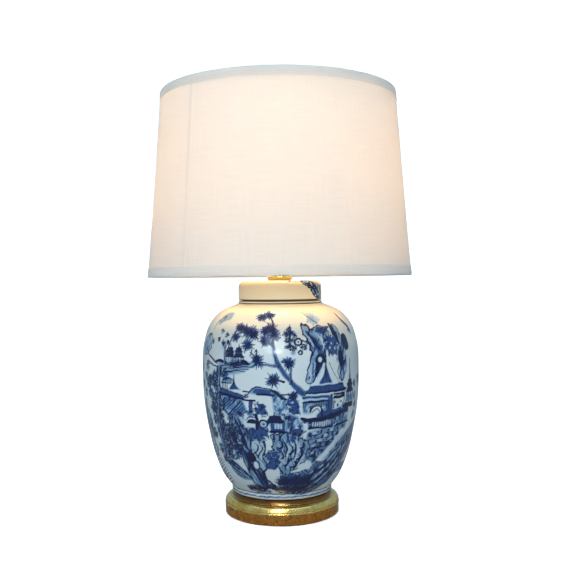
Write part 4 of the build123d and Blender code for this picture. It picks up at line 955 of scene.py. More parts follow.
def paint_leaning_rock(g, rng):
    """Left, over the water: the tall leaning rock with dark flowers at its head, curls of white and a
    hole."""
    rock(g, rng, [(-37, 127), (-29, 129), (-24, 117), (-21, 101), (-13, 93), (-13, 78), (-14.5, 66),
                  (-12.5, 60), (-14.5, 48), (-14, 38), (-8, 24), (-15, 18), (-24, 23), (-29, 46), (-33, 70),
                  (-37, 96)], 26, -24, 34, 0.95, 2.2)
    for path in ([(-33, 118), (-29, 96), (-26, 78)], [(-31, 82), (-27, 62), (-22, 42), (-18, 26)],
                 [(-24, 96), (-23, 80), (-25, 66)], [(-20, 44), (-17, 34), (-13, 24)]):
        g.line("line", path, (1.6, 4.4, 1.8))
    for spot, wide, tall in (((-29, 108), 13, 20), ((-31, 90), 9, 16), ((-27, 52), 8, 16)):
        leaves(g, rng, spot, wide, tall, 26, 4.8, 0.6, 0)
    light = [(-22, 92), (-15, 92), (-14, 76), (-17, 64), (-22, 70), (-23, 82)]
    g.area("bare", light, 0.9, curved=True)
    g.area("wash", light, 0.4, curved=True)
    for path in ([(-21, 90), (-18, 86), (-19, 78), (-21.5, 74)],
                 [(-17, 91), (-14.5, 82), (-17, 74), (-19, 68)], [(-22, 80), (-19.5, 72), (-17, 64)],
                 [(-13.5, 92), (-12.5, 80), (-14.5, 66), (-12.5, 60)]):
        g.line("line", path, (1.2, 2.2, 1.3))
    g.area("line", [(-29, 74), (-24, 76), (-20, 66), (-23, 60), (-28, 66)], curved=True)
    hole(g, (-21, 56), 9, 13, 2.2)
    g.line("line", [(-17, 52), (-15, 40), (-13, 28)], (2.0, 4.0, 2.0))
    clump(g, rng, [(-25, 108), (-21, 113), (-16, 114), (-10.5, 112), (-10, 102), (-14, 96), (-19, 95),
                   (-24, 101)], 44)
    slab(g, "bare", -27, -19, 113, 128)
    g.area("line", [(-25.5, 118), (-22.5, 124.5), (-19.5, 125), (-17.5, 119), (-21, 118.5)], curved=True)
    g.line("blue", [(-26, 121), (-22.5, 128), (-17.5, 127)], (1.2, 2.2, 1.2))
    g.line("line", [(-17.8, 131), (-17, 122), (-17.6, 112)], (5.0, 4.4, 4.4))
    hole(g, (-12.7, 118), 9.5, 9.5, 2.4)
    g.shape("wash", (-12.7, 118), oval(7, 7), 0.9)
    g.shape("blue", (-12.4, 118), oval(3.4, 3.4))
    g.line("line", [(-9.5, 121), (-8, 125)], 1.8)
    thicket(g, rng, (
        (-38, 91), (-34, 80), (-40, 82), (-35, 101), (-38, 112), (-44, 66), (-51, 60), (-41, 101), (-36, 70),
        (-46, 54)), 16, 15, 26, 5.0, 0.8, 1.0)


def paint_left_foreground(g, rng):
    """Bottom left: a dark leaning spray of leaves, and grass at the water's edge."""
    spray = [(-50, 56), (-44, 59), (-35, 50), (-26, 33), (-38, 32), (-46, 41)]
    mottle(g, rng, spray, 0.9, 22, 5, 0.6, 0.3)
    hatch(g, rng, spray, 5.0, -58, "line", 2.2)
    g.line("line", [(-51, 57), (-43, 55), (-34, 46), (-27, 33)], (1.6, 3.0, 2.0))
    for spot in ((-33, 15), (-29, 17), (-25, 15), (-21, 18), (-17, 16), (-13, 19), (-8, 18), (-5, 15)):
        grass(g, rng, spot, 9, 10, 9)
    leaves(g, rng, (-22, 14), 34, 8, 26, 4.2, 0.75, 0.8)
    leaves(g, rng, (-8, 25), 7, 7, 8, 4.0, 0.7, 0.3)
    g.line("line", [(-14, 34), (-10, 30), (-6, 22)], (1.4, 2.0, 1.4))


def paint_centre_rock(g, rng):
    """Centre: a dark tree, a small roof with white windows, and the cloud-shaped rock in the water."""
    tree = [(-6.5, 167), (-2, 165), (2, 158), (6, 152), (7, 140), (5, 129), (-3, 129), (-5.5, 144)]
    mottle(g, rng, tree, 1.0, 90, 4.6, 0.5, 0.26)
    g.line("line", [(-7, 167), (-3, 163), (0.5, 156), (6.5, 152)], (2.4, 3.6, 2.2))
    g.line("line", [(0, 160), (5, 160.5), (9, 158)], (2.0, 1.4))
    clump(g, rng, [(5, 152), (9.5, 153), (11.5, 146), (11, 134), (7, 131), (5, 140)], 34)
    middle = [(1, 129), (6, 132), (11, 129), (15, 118), (15.5, 104), (12, 95), (2, 97), (0, 110)]
    g.area("bare", middle, curved=True)
    mottle(g, rng, middle, 1.0, 95, 4.8, 0.5, 0.2)
    g.line("blue", [(7, 126), (7.5, 114), (6.5, 102)], (3.0, 5.0, 3.0))
    g.line("bare", [(10.5, 124), (10.5, 112)], (1.4, 2.6, 1.4))
    clump(g, rng, [(8.5, 111), (13, 112), (16, 106), (14, 99), (10, 98), (8, 103)], 22)
    leaves(g, rng, (4, 127), 9, 8, 10, 4.6, 0.9, 0.8)
    rock(g, rng, [(-7.5, 103), (2, 106), (12, 100), (18, 92), (21.5, 78), (20, 66), (14, 58), (9, 50),
                  (3, 43), (-1, 50), (-5, 60), (-6, 80)], 24, 8, 24, 0.9, 1.9)
    for deg, height, wide, tall in ((3, 64, 11, 17), (9, 58, 12, 11), (13, 72, 12, 15), (6, 80, 12, 16),
                                    (-1, 88, 9, 14), (15, 86, 10, 11), (0, 72, 7, 12)):
        g.shape("line", (deg, height), oval(wide, tall))
        for layer, strength in (("bare", 1.0), ("wash", 0.78)):
            g.shape(layer, (deg - 0.5, height + 0.6), oval(wide - 4, tall - 4.4), strength)
        g.line("blue", [(deg - 0.8, height + 0.26 * tall), (deg + 1.4, height - 0.2 * tall)], (1.4, 3.0, 1.4))
    for path in ([(1, 96), (4, 84), (3, 70)], [(9, 96), (11, 82), (9, 66)], [(17, 80), (15, 68), (10, 54)]):
        g.line("line", path, (1.4, 3.2, 1.4))
        g.line("bare", [(deg + 1.5, up - 1) for deg, up in path], (0.8, 1.8, 0.8), 0.8)
    slab(g, "bare", -8, 3, 107, 121)
    slab(g, "wash", -8, 3, 107, 121, 1.0)
    slab(g, "blue", -7.6, 2.6, 107, 121)
    windows(g, -5.2, 1.0, 111, 118.5, 3)
    g.line("line", [(-8.5, 107.5), (3, 106.5)], 3.0)
    roof(g, -11.5, 2.5, 120, 130, 0.24, 7, "line")
    g.line("line", [(-5, 128), (-5, 136)], (2.4, 1.2))
    clump(g, rng, [(-11, 75), (-7, 79), (-3, 76), (-2, 63), (-4, 52), (-10, 51), (-12, 62)], 48, 0.35)
    for i, deg in enumerate(np.linspace(-1, 25, 13)):
        for height in (12 + 3 * (i % 3), 26 + 4 * (i % 2)):
            if height < 44 - 0.3 * deg:
                grass(g, rng, (deg, height), 8, 14, 11, -14)
    mottle(g, rng, [(-1, 40), (8, 46), (14, 36), (18, 14), (4, 9), (-3, 18)], 0.8, 40, 4.6, 0.5, 0.0, 20)


def paint_scholar_rock(g, rng):
    """Upper right: the tall pierced rock with leaves on its left shoulder and a second leg beside it."""
    rock(g, rng, [(38, 254), (43, 258), (50, 240), (53, 218), (52, 192), (48, 176), (45, 178), (44, 198),
                  (42, 216), (38, 228), (39, 242)], 14, 4, 30, 0.72, 1.4)
    g.area("line", [(44, 219), (49, 218), (49.5, 196), (45, 196)])
    g.line("blue", [(46.5, 222), (47.5, 206), (48, 192)], (5.0, 8.0, 4.0))
    g.line("bare", [(43.4, 214), (43.6, 200)], (1.2, 1.8, 1.2), 0.8)
    g.line("line", [(40, 257), (43, 244), (46, 229)], (4.0, 8.5, 4.0))
    g.line("bare", [(38.5, 256), (40, 246)], (1.4, 2.2, 1.4), 0.8)
    rock(g, rng, [(15.5, 259), (19, 256), (24, 251), (29, 255), (38, 253), (37, 244), (33.5, 231), (32, 219),
                  (31, 205), (28.5, 192), (25.5, 182), (23.5, 190), (22, 177), (18.3, 177), (18.5, 190),
                  (20.7, 207), (21.5, 224), (19, 236), (15.8, 247)], 16, 12, 30, 0.85, 2.0)
    g.line("blue", [(19, 247), (23, 237), (27, 226), (29, 212), (28, 198)], (5.0, 9.5, 9.0, 7.0))
    g.line("line", [(20, 244), (24, 234), (28, 222)], (2.4, 5.4, 3.0))
    g.line("line", [(26, 200), (25.5, 191), (24.5, 184)], (5.0, 4.0, 2.0))
    g.line("bare", [(17.6, 247), (21, 238), (23.6, 228)], (1.0, 2.4, 1.2), 0.85)
    g.line("bare", [(26, 245), (29.5, 238), (31.5, 226)], (1.0, 2.6, 1.2), 0.85)
    g.line("bare", [(20.5, 186), (21.4, 200)], (1.2, 2.2, 1.2), 0.8)
    g.area("blue", [(26, 247), (28, 254.5), (37, 253.5), (37, 246), (31, 244.5)])
    leaves(g, rng, (32, 250), 16, 8, 14, 4.4, 0.7, 0)
    g.shape("line", (27.8, 208), oval(16, 18))
    g.shape("bare", (27.8, 208), oval(7.5, 8.5))
    clump(g, rng, [(33, 238), (38, 241), (43, 236), (44.5, 224), (41, 214), (36, 215), (33.5, 226)], 40)
    for spot in ((38.5, 230), (36.5, 224), (41, 223)):
        g.shape("bare", spot, oval(3.0, 5.0))
    g.area("line", [(50, 241), (53, 243), (57.5, 228), (55.5, 218), (51, 224)], curved=True)
    g.line("line", [(6.8, 258), (6.6, 240), (6.5, 222)], (1.4, 2.6, 2.0))
    for deg, height, wide, tall in ((6.5, 251, 7, 8), (4, 245, 9, 8), (9, 245, 9, 8), (5, 237, 10, 8),
                                    (9.5, 236, 10, 8), (5.5, 228, 9, 8), (9, 226, 8, 8)):
        leaves(g, rng, (deg, height), wide, tall, 13, 4.4, 0.85, 0.9)
    hole(g, (12.4, 234), 7.5, 7.5, 2.6)
    g.shape("blue", (12.4, 234), oval(3.4, 3.4))
    g.line("line", [(15.5, 236), (19.5, 233)], 2.2)
    g.line("line", [(15, 231), (18, 229)], 2.0)
    leaves(g, rng, (16.5, 227), 11, 8, 12, 4.2, 0.85, 0.7)
    hole(g, (13.6, 219.5), 3.2, 3.2, 2.4)
    g.shape("wash", (8.5, 218.5), oval(7, 5), 1.0)
    g.line("blue", [(57, 272), (60, 260), (65, 250), (66, 239)], (2.0, 6.5, 5.0, 1.6))
    g.line("line", [(57, 271), (60, 260), (64, 252)], (1.6, 2.8, 1.6))
    leaves(g, rng, (64, 248), 9, 14, 12, 4.8, 0.4, 0.8)


def paint_palace(g, rng):
    """Right: the great hall under its pointed roof, its terraces, arch, gable and tower."""
    slab(g, "bare", 14, 46, 131, 172)
    spire(g, 32.5, 6.4, 172, 206, 7)
    for side in (-1, 1):
        g.line("bare", [(32.5 + side * out, up) for out, up in ((1.8, 202), (4.6, 187), (9.4, 174))],
               (1.2, 4.6, 2.4))
        g.line("line", [(32.5 + side * out, up) for out, up in ((2.2, 205), (6.6, 188), (12.2, 173))],
               (0.9, 1.6, 1.2))
    roof(g, 15.5, 53, 160, 171.5, 0.13, 15, "blue")
    g.area("blue", [(17, 161), (51, 162.5), (44, 171), (21, 171)])
    g.line("line", [(15.5, 161), (30, 160), (52, 163)], (2.0, 3.4, 2.4))
    g.line("bare", [(21, 172.6), (32, 173), (43, 172.6)], 1.7)
    levels(g, 15, 45, (158.2, 151.8), 2.0, "bare")
    slab(g, "wash", 15, 37, 131, 157, 0.95)
    levels(g, 15, 37, (155.4, 154), 2.6, "blue")
    levels(g, 15, 36, (151.6,), 2.0, "bare")
    levels(g, 15, 36, (148.8,), 2.4)
    posts(g, 15.5, 35, 133, 148, 13, 1.3)
    mottle(g, rng, [(15, 146), (35, 146), (35, 133), (15, 133)], 0.9, 26, 3.6, 0.35, 0.35, curved=False)
    archway(g, 20.7, 29.3, 129, 143, 2.2)
    g.line("blue", [(21, 132), (25, 138), (29, 132)], (1.2, 2.0, 1.2))
    windows(g, 14.5, 21, 129.5, 132.5, 4)
    slab(g, "blue", 34, 38.6, 132, 157)
    g.line("bare", [(35.5, 156), (35.5, 148)], 1.8, 0.8)
    slab(g, "line", 39, 51, 150, 158)
    levels(g, 39.5, 47, (154.5,), 1.6, "bare")
    slab(g, "bare", 39.5, 50, 136, 149)
    for deg, height, wide, tall in ((41, 145, 3, 3), (46.5, 145, 4, 3), (43.5, 140, 3.4, 5),
                                    (48.6, 141, 2.4, 4)):
        g.shape("line", (deg, height), oval(wide, tall))
    posts(g, 39.5, 50.5, 136, 149, 2, 1.8)
    g.line("line", [(57.5, 206), (57.5, 190), (57.5, 172)], (1.2, 2.4, 4.2))
    for low, high, half in ((166, 174, 4.2), (157, 165, 5.2)):
        roof(g, 57.5 - half, 57.5 + half, low, high, 0.25, 4, "line")
    mottle(g, rng, [(53, 157), (62.5, 157), (62.5, 142), (53, 142)], 0.8, 18, 4, 0.4, 0.3, curved=False)
    posts(g, 53, 62.5, 142, 157, 4, 1.4)
    slab(g, "line", 51.5, 63, 134, 141.5)
    thicket(g, rng, ((66, 150), (68, 136), (65, 166), (67, 120)), 9, 13, 13, 4.4, 0.5, 0.8)
    wall = [(24, 126), (29, 134), (42, 135), (56, 139), (57, 127), (40, 121)]
    g.coats(wall, "wash", "blue")
    mottle(g, rng, wall, 1.0, 26, 4.6, 0.7, 0.12)
    g.line("line", [(9.5, 127), (18, 123), (28, 122.5), (40, 126), (56, 132)], (3.6, 5.6, 7.0, 6.4, 4.0))
    g.line("bare", [(10, 130.5), (18, 127.6), (25, 127.6)], 1.7, 0.9)
    g.line("blue", [(10, 123), (18, 119), (24, 118)], (1.6, 3.4, 2.4))
    lower = [(18.5, 122), (38, 123), (57, 128), (57, 112), (38, 109), (18.5, 109)]
    mottle(g, rng, lower, 1.0, 96, 4.2, 0.6, 0.16, curved=False)
    slab(g, "wash", 40, 51, 113, 122, 0.8)
    g.shape("line", (50, 121), oval(3.4, 3.4))
    windows(g, 22, 38, 113.5, 118.5, 8)
    posts(g, 20, 39, 110, 121, 11, 1.3)
    g.line("line", [(18.5, 110), (38, 109.5), (58, 114)], (2.4, 3.8, 3.0))
    g.line("bare", [(22, 107.4), (30, 107), (40, 107.6)], 1.9, 0.95)


def paint_terraces(g, rng):
    """Right, below the palace: a patchwork of terraces, a channel of still water and mottled trees."""
    plots = [(18.5, 105), (56, 111), (53, 92), (40, 66), (26, 58), (19, 70)]
    mottle(g, rng, plots, 0.95, 120, 4.2, 0.45, 0.22)
    for i, height in enumerate((103, 96.5, 90, 83.5)):
        for j, deg in enumerate(np.arange(20 + 1.1 * i, 53 - 3 * i, 3.1)):
            rise = 0.12 * (deg - 20)
            layer = ("line", "bare", "blue", "line", "wash")[(2 * i + j) % 5]
            slab(g, layer, deg, deg + 2.1, height + rise - 1.8, height + rise + 1.6, 0.85)
        g.line("line", [(19.5, height - 3.2), (34, height - 1.8), (52 - 3 * i, height + 0.2)], 1.5)
    thicket(g, rng, ((25, 78), (31, 80), (37, 84), (28, 70), (35, 73), (24, 64), (30, 62), (42, 84), (21, 70),
                     (26, 56), (20, 60)), 13, 11, 17, 4.2, 0.55, 0.9)
    g.line("bare", [(18.4, 118), (17.6, 106), (17.2, 94), (19, 82), (20.5, 72)], (2.4, 3.6, 4.4, 3.8, 2.0))
    g.line("line", [(15.8, 104), (15.6, 94), (17.6, 80)], (1.2, 1.8, 1.2))
    g.area("bare", [(56, 102), (51, 90), (44, 78), (37, 66), (31, 57), (28, 60), (34, 72), (41, 84), (47, 94),
                    (52, 104)], curved=True)
    g.area("wash", [(52, 94), (45, 82), (40, 74), (43, 82), (48, 92)], 0.35, curved=True)


def paint_right_bank(g, rng):
    """Bottom right: the hatched bank that climbs to the right edge, and the water before it."""
    bank(g, rng, [(74, 112), (62, 100), (54, 90), (43, 70), (35, 58), (26, 60), (24, 48), (17, 28), (12, 10),
                  (32, 10), (46, 20), (60, 48), (74, 84)], 3.0, 52, 0.9)
    for path in ([(14, 14), (28, 28), (42, 46), (56, 74)], [(24, 14), (38, 28), (52, 52), (66, 90)],
                 [(26, 40), (36, 48), (48, 66)]):
        g.line("line", path, (1.6, 3.4, 1.8))
        g.line("bare", [(deg - 1, up + 3) for deg, up in path], (0.8, 2.0, 0.8), 0.75)
    for spot in ((20, 18), (26, 22), (31, 18), (24, 34), (29, 44), (34, 32), (40, 40), (45, 50), (52, 60),
                 (38, 52), (46, 34), (56, 76), (62, 84)):
        grass(g, rng, spot, 8, 11, 9, 30)
    g.area("bare", [(6, 50), (12, 60), (22, 62), (25, 56), (18, 48), (9, 44)], curved=True)
    g.line("blue", [(4, 42), (12, 45), (20, 49)], (1.2, 1.8, 1.2))


def paint_back(g, rng):
    """The far side of the jar: another shore of the same lake, with a fisherman's house, a bridge, pines,
    a pagoda on its rock and boats."""
    bank(g, rng, [(82, 66), (92, 76), (108, 70), (126, 52), (146, 44), (168, 42), (176, 30), (150, 14),
                  (110, 11), (84, 14)], 3.8, 64, 0.8)
    for left, right, low in ((88, 100, 82), (104, 113, 78)):
        house(g, left, right, low, low + 13, low + 26, 5)
        windows(g, left + 1, right - 1, low + 4, low + 10, 3, "line")
    thicket(g, rng, ((83, 92), (85, 106), (102, 99), (116, 84), (122, 74), (118, 96), (79, 78), (130, 60)),
            17, 15, 20, 4.6, 0.6, 0.8)
    trunk(g, [(84, 96), (88, 122), (86, 148), (91, 172), (88, 196)], (6.4, 5.2, 4.0, 3.0))
    trunk(g, [(87, 130), (95, 142), (104, 146)], (3.4, 2.2))
    trunk(g, [(86, 152), (79, 164), (75, 170)], (3.2, 2.0))
    pine_tufts(g, rng, (
        (104, 148, 10), (110, 143, 8), (97, 152, 8), (74, 173, 9), (80, 180, 8), (88, 200, 11), (96, 192, 9),
        (83, 212, 8), (92, 216, 9), (101, 171, 8), (108, 160, 7)))
    bridge(g, 116, 141, 84, 12)
    rock(g, rng, [(138, 70), (144, 98), (140, 122), (147, 146), (156, 152), (165, 140), (163, 116), (170, 92),
                  (168, 68), (154, 60)], 30, 8, 36, 0.95, 2.0)
    for path in ([(146, 138), (149, 112), (146, 86)], [(157, 144), (159, 118), (156, 84)],
                 [(151, 126), (153, 98)]):
        g.line("line", path, (1.4, 3.6, 1.4))
    hole(g, (152, 118), 8, 14, 1.8)
    tower(g, 155, 150, 5, 5.0, 11)
    leaves(g, rng, (147, 156), 15, 13, 16, 4.6, 0.6, 0.8)
    leaves(g, rng, (164, 150), 17, 14, 18, 4.6, 0.6, 0.8)
    islet(g, rng, 104, 132, 222, 14)
    house(g, 110, 114, 226, 230, 238, 2)
    house(g, 119, 124, 229, 234, 244, 3)
    ripples(g, rng, 106, 134, 204, 218, 8)
    boat(g, (124, 182), 24)
    ripples(g, rng, 112, 136, 168, 178, 7)
    boat(g, (-158, 146), 26)
    ripples(g, rng, -174, -142, 128, 142, 10)
    birds(g, [(140, 244), (146, 250), (152, 243), (-150, 238), (-143, 244), (-136, 239)])
    islet(g, rng, -176, -148, 200, 16)
    tower(g, -164, 212, 3, 3.2, 9)
    house(g, -157, -152, 206, 211, 220, 3)
    rock(g, rng, [(-178, 74), (-174, 94), (-166, 104), (-158, 92), (-150, 96), (-144, 78), (-150, 58),
                  (-168, 54)], 24, -10, 26, 0.9, 2.0)
    leaves(g, rng, (-170, 108), 20, 15, 22, 4.6, 0.6, 0.8)
    leaves(g, rng, (-148, 100), 16, 13, 16, 4.6, 0.6, 0.8)
    bank(g, rng, [(178, 44), (-168, 50), (-148, 46), (-126, 56), (-108, 76), (-96, 84), (-92, 62), (-96, 20),
                  (-130, 10), (-176, 14)], 3.8, 58, 0.8)
    for left, right, low, high in ((-132, -112, 96, 114), (-108, -98, 100, 114)):
        house(g, left, right, low, high, high + 15, 6)
        windows(g, left + 1.5, right - 1.5, low + 5, high - 3, 4, "line")
    roof(g, -129, -115, 132, 146, 0.25, 7)
    levels(g, -136, -95, (94, 90), 2.4)
    thicket(g, rng, ((-138, 98), (-136, 84), (-126, 80), (-114, 84), (-102, 92), (-94, 104), (-92, 92),
                     (-142, 112)), 17, 14, 19, 4.6, 0.6, 0.8)
    trunk(g, [(-92, 96), (-89, 120), (-94, 146), (-90, 170), (-96, 196), (-93, 222)], (6.6, 5.4, 4.4, 3.2))
    trunk(g, [(-93, 150), (-101, 162), (-110, 166)], (3.4, 2.2))
    trunk(g, [(-91, 172), (-83, 184), (-78, 190)], (3.2, 2.0))
    pine_tufts(g, rng, (
        (-111, 169, 10), (-104, 176, 8), (-118, 163, 8), (-77, 193, 9), (-84, 200, 8), (-93, 226, 11),
        (-101, 214, 9), (-86, 236, 8), (-99, 240, 9), (-107, 196, 8)))
    rock(g, rng, [(-84, 66), (-80, 96), (-76, 124), (-69, 134), (-64, 118), (-66, 90), (-63, 66), (-72, 58)],
         20, 4, 34, 0.9, 2.0)
    thicket(g, rng, ((-72, 140), (-80, 128), (-66, 104), (-68, 156), (-74, 168), (-67, 180), (-64, 196)),
            14, 14, 16, 4.6, 0.6, 0.75)
    for spot in ((76, 34), (86, 30), (96, 40), (112, 34), (128, 28), (142, 24), (160, 24), (-172, 28),
                 (-156, 26), (-140, 24), (-122, 30), (-106, 38), (-92, 32), (-78, 30), (-66, 26)):
        grass(g, rng, spot, 8, 14, 11)
    hatch(g, rng, [(-92, 60), (-60, 54), (-52, 24), (-92, 14)], 4.0, 66, "line", 1.6)
    ripples(g, rng, -92, -62, 40, 56, 8)


def paint_rims(g):
    """Two thin lines round the foot."""
    for height, width in ((4.4, 2.0), (9.4, 2.2)):
        for deg in range(-180, 180, 20):
            g.line("blue", [(deg, height), (deg + 10, height), (deg + 20, height)], width)


def paint_jar(radii, heights, columns):
    """The whole landscape round the jar, from the far shores to the near banks."""
    g = Glaze(radii, heights, columns)
    rng = np.random.default_rng(7)
    for part in (paint_back, paint_far_shore, paint_left_grove, paint_scholar_rock, paint_palace,
                 paint_terraces, paint_right_bank, paint_centre_rock, paint_leaning_rock,
                 paint_left_foreground, paint_pine):
        part(g, rng)
    paint_rims(g)
    return g


def paint_lid(radii, heights, columns):
    """A rock with leaves over the lid's right shoulder, one more at the back, and a few birds."""
    g = Glaze(radii, heights, columns)
    rng = np.random.default_rng(11)
    for turn in (0, 165):
        outline = ((30, 27), (38, 30), (50, 29), (62, 26), (76, 14), (72, 3), (58, 4), (48, 12), (40, 21))
        rock(g, rng, [(deg + turn, height) for deg, height in outline], 16, 28, 22, 0.75, 2.0)
        for deg, height, wide, tall in ((44, 24, 15, 9), (56, 18, 14, 14), (64, 9, 13, 12)):
            leaves(g, rng, (deg + turn, height), wide, tall, 12, 4.2, 0.75, 0)
        for path in ([(36, 27), (48, 20), (60, 7)], [(46, 28), (58, 20), (68, 8)]):
            g.line("line", [(deg + turn, height) for deg, height in path], (1.4, 3.4, 1.6))
    birds(g, [(14, 28), (-120, 26), (-112, 23)], 2.6)
    return g


# ------------------------------------------------------------------ porcelain
JAR_SIDE_HEIGHT = 287.0      # foot to shoulder
JAR_FOOT_RADIUS = 77.0
JAR_FOOT_SIDE = 8.0
JAR_FOOT_EDGE = 3.0
JAR_FOOT_RING = 11.0
JAR_FOOT_RECESS = 4.0
JAR_FLOOR = 8.0
JAR_LEDGE_RADIUS = 64.2
JAR_LEDGE = 3.4
JAR_NECK_RADIUS = 57.5
JAR_NECK_WALL = 5.0
JAR_WALL = 6.0
JAR_HOLE = 8.1
# The side's outline: share of its height above the foot, share of the belly's radius.
JAR_OUTLINE = ((0.084, 0.737), (0.181, 0.838), (0.321, 0.922), (0.488, 0.984), (0.641, 1.0), (0.794, 0.979),
               (0.892, 0.901), (0.948, 0.789))
PLAIN_ROWS = 8               # over the painting, up to the ledge
PAINTED_SHARE = 0.91         # of the way up the side
LID_WALL = 4.6
LID_ROOF = 5.0
LID_TOP_EDGE = 9.0
LID_RIM_EDGE = 1.2
LID_HOLE = 5.3
LID_PAINTED_TOP = 12.0       # how far the painted rows go over the flat top
LID_TOP_RING = 24.0          # radii of rings of points that share out the flat faces
LID_CEILING_RING = 40.0
LID_SKIRT_RING = 8.0         # the same on the inner wall, above the rim
LID_CORNER = 1.2
LID_BEVEL = 0.6
LID_COLUMNS = 360
LID_ROWS = 38


def spaced(outline, places):
    """The points of an outline at the given ways along it, in mm, straight between its own points."""
    along = way_along(outline)
    return np.stack([np.interp(places(along[-1]), along, outline[:, k]) for k in (0, 1)], axis=-1)


def jar_side(rows):
    """The jar's outside, foot edge to ledge: upright at the foot, then a smooth curve through JAR_OUTLINE."""
    bend = [(JAR_FOOT_RADIUS, JAR_FOOT + JAR_FOOT_SIDE)]
    bend += [(share * JAR_BELLY, JAR_FOOT + height * JAR_SIDE_HEIGHT) for height, share in JAR_OUTLINE]
    bend += [(JAR_LEDGE_RADIUS, JAR_FOOT + JAR_SIDE_HEIGHT)]
    outline = np.vstack([[(JAR_FOOT_RADIUS, JAR_FOOT + JAR_FOOT_EDGE)], smooth_path(bend, 40)])
    outline[:, 0] = np.minimum(outline[:, 0], JAR_BELLY)
    return spaced(outline, lambda whole: np.concatenate([
        np.linspace(0, PAINTED_SHARE * whole, rows, endpoint=False),
        np.linspace(PAINTED_SHARE * whole, whole, PLAIN_ROWS)]))


def jar_inside(side):
    """From the rim down the inner wall, one wall inside the outside, over the floor, and out to the foot."""
    ledge = JAR_FOOT + JAR_SIDE_HEIGHT + JAR_LEDGE
    bore = JAR_NECK_RADIUS - JAR_NECK_WALL
    floor = JAR_FOOT + JAR_FOOT_RECESS
    ring = JAR_FOOT_RADIUS - JAR_FOOT_RING
    down = np.linspace(JAR_FOOT + JAR_SIDE_HEIGHT - 2.2 * JAR_WALL, floor + JAR_FLOOR + JAR_WALL, 9)
    wall = np.stack([np.interp(down, side[:, 1], side[:, 0]) - 1.1 * JAR_WALL, down], axis=-1)
    edge = arc((JAR_FOOT_RADIUS - JAR_FOOT_EDGE, JAR_FOOT + JAR_FOOT_EDGE), JAR_FOOT_EDGE, -90, -18, 5)
    return np.vstack([
        [(JAR_LEDGE_RADIUS, ledge), (JAR_NECK_RADIUS, ledge), (JAR_NECK_RADIUS, JAR_RIM), (bore, JAR_RIM),
         (bore, JAR_FOOT + JAR_SIDE_HEIGHT - 0.4 * JAR_WALL)],
        wall,
        [(wall[-1, 0] - JAR_WALL, floor + JAR_FLOOR), (JAR_HOLE, floor + JAR_FLOOR), (JAR_HOLE, floor),
         (ring, floor), (ring, JAR_FOOT)],
        edge,
    ])


def painted_piece(name, outside, hidden, glaze, material):
    """A turned piece of porcelain: the painting on the rows of its outside, bare glaze on the hidden rest."""
    outline = np.vstack([outside, hidden])
    piece = new_piece(name, round_about(outline[:, 0], glaze.angles, outline[:, 1]), "stand",
                      material, along=True)
    values = np.zeros((len(outline), len(glaze.angles), 4))
    for k, layer in enumerate(("wash", "blue", "line")):
        values[: len(outside), :, k] = glaze.paint[layer]
    values[..., 3] = 1
    note(piece, "paint", values, "FLOAT_COLOR")
    return piece


def make_jar(sizes, material):
    """The jar: its painted side from foot to ledge, then its neck, inner wall, floor and foot ring."""
    side = jar_side(sizes.rows)
    glaze = paint_jar(side[:, 0], side[:, 1] - JAR_FOOT, sizes.columns)
    jar = painted_piece("painted_jar", side, jar_inside(side), glaze, material)
    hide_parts("jar_body")


def make_lid(material):
    """The lid: its skirt, a round shoulder and a flat top on the outside, then its hollow underneath."""
    corner = (LID_RADIUS - LID_TOP_EDGE, LID_TOP - LID_TOP_EDGE)
    skirt = (LID_RADIUS - LID_RIM_EDGE, LID_BOTTOM + LID_RIM_EDGE)
    outside = np.vstack([arc(skirt, LID_RIM_EDGE, 0, 1, 1), arc(corner, LID_TOP_EDGE, 0, 90, 12),
                         [(corner[0] - LID_PAINTED_TOP, LID_TOP)]])
    outside = spaced(outside, lambda whole: np.linspace(0, whole, LID_ROWS))
    inner = LID_RADIUS - LID_WALL
    ceiling = LID_TOP - LID_ROOF
    inside = np.vstack([
        [(LID_TOP_RING, LID_TOP), (LID_HOLE, LID_TOP), (LID_HOLE, ceiling), (LID_CEILING_RING, ceiling)],
        arc((inner - LID_CORNER, ceiling - LID_CORNER), LID_CORNER, 90, 0, 4),
        [(inner, LID_BOTTOM + LID_SKIRT_RING), (inner, LID_BOTTOM + LID_BEVEL),
         (inner + LID_BEVEL, LID_BOTTOM)],
        arc(skirt, LID_RIM_EDGE, -90, -15, 4),
    ])
    glaze = paint_lid(outside[:, 0], outside[:, 1] - LID_BOTTOM, LID_COLUMNS)
    lid = painted_piece("painted_lid", outside, inside, glaze, material)
    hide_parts("jar_lid")


# ------------------------------------------------------------------ shade
SHADE_TOP_RADIUS = 181.4
SHADE_TALL = SHADE_TOP - SHADE_BOTTOM
SHADE_FLARE = SHADE_WIDEST - SHADE_TOP_RADIUS
SHADE_SLANT = math.hypot(SHADE_TALL, SHADE_FLARE)
SEAM_TURN = -42.0            # degrees round from the front
SEAM_WIDTH = 6.0
SEAM_PROUD = 0.4
SEAM_STEP = 0.06             # degrees over which the lap rises to its full thickness
TAPE = 0.5
TAPE_INSIDE = 11.0
TAPE_COLUMNS = 240
GLUE = 0.1
RIM_WIRE = 2.6
LINER = 1.0                  # depth of the shade's wall, as the tape folds round it
TAPE_END_TURN = 83.0         # degrees round from the front
TAPE_END_HALF = 2.6          # half its width
TAPE_END_TOP = 9.5           # below the shade's top
TAPE_END_LONG = 12.5
TAPE_END_CLOTH = (11, 13)    # both its faces laid side by side, and its length along the bend


def panel_radius(level):
    """The shade's outside radius, straight from its top edge to its bottom edge."""
    return np.interp(level, (SHADE_BOTTOM, SHADE_TOP), (SHADE_WIDEST, SHADE_TOP_RADIUS))


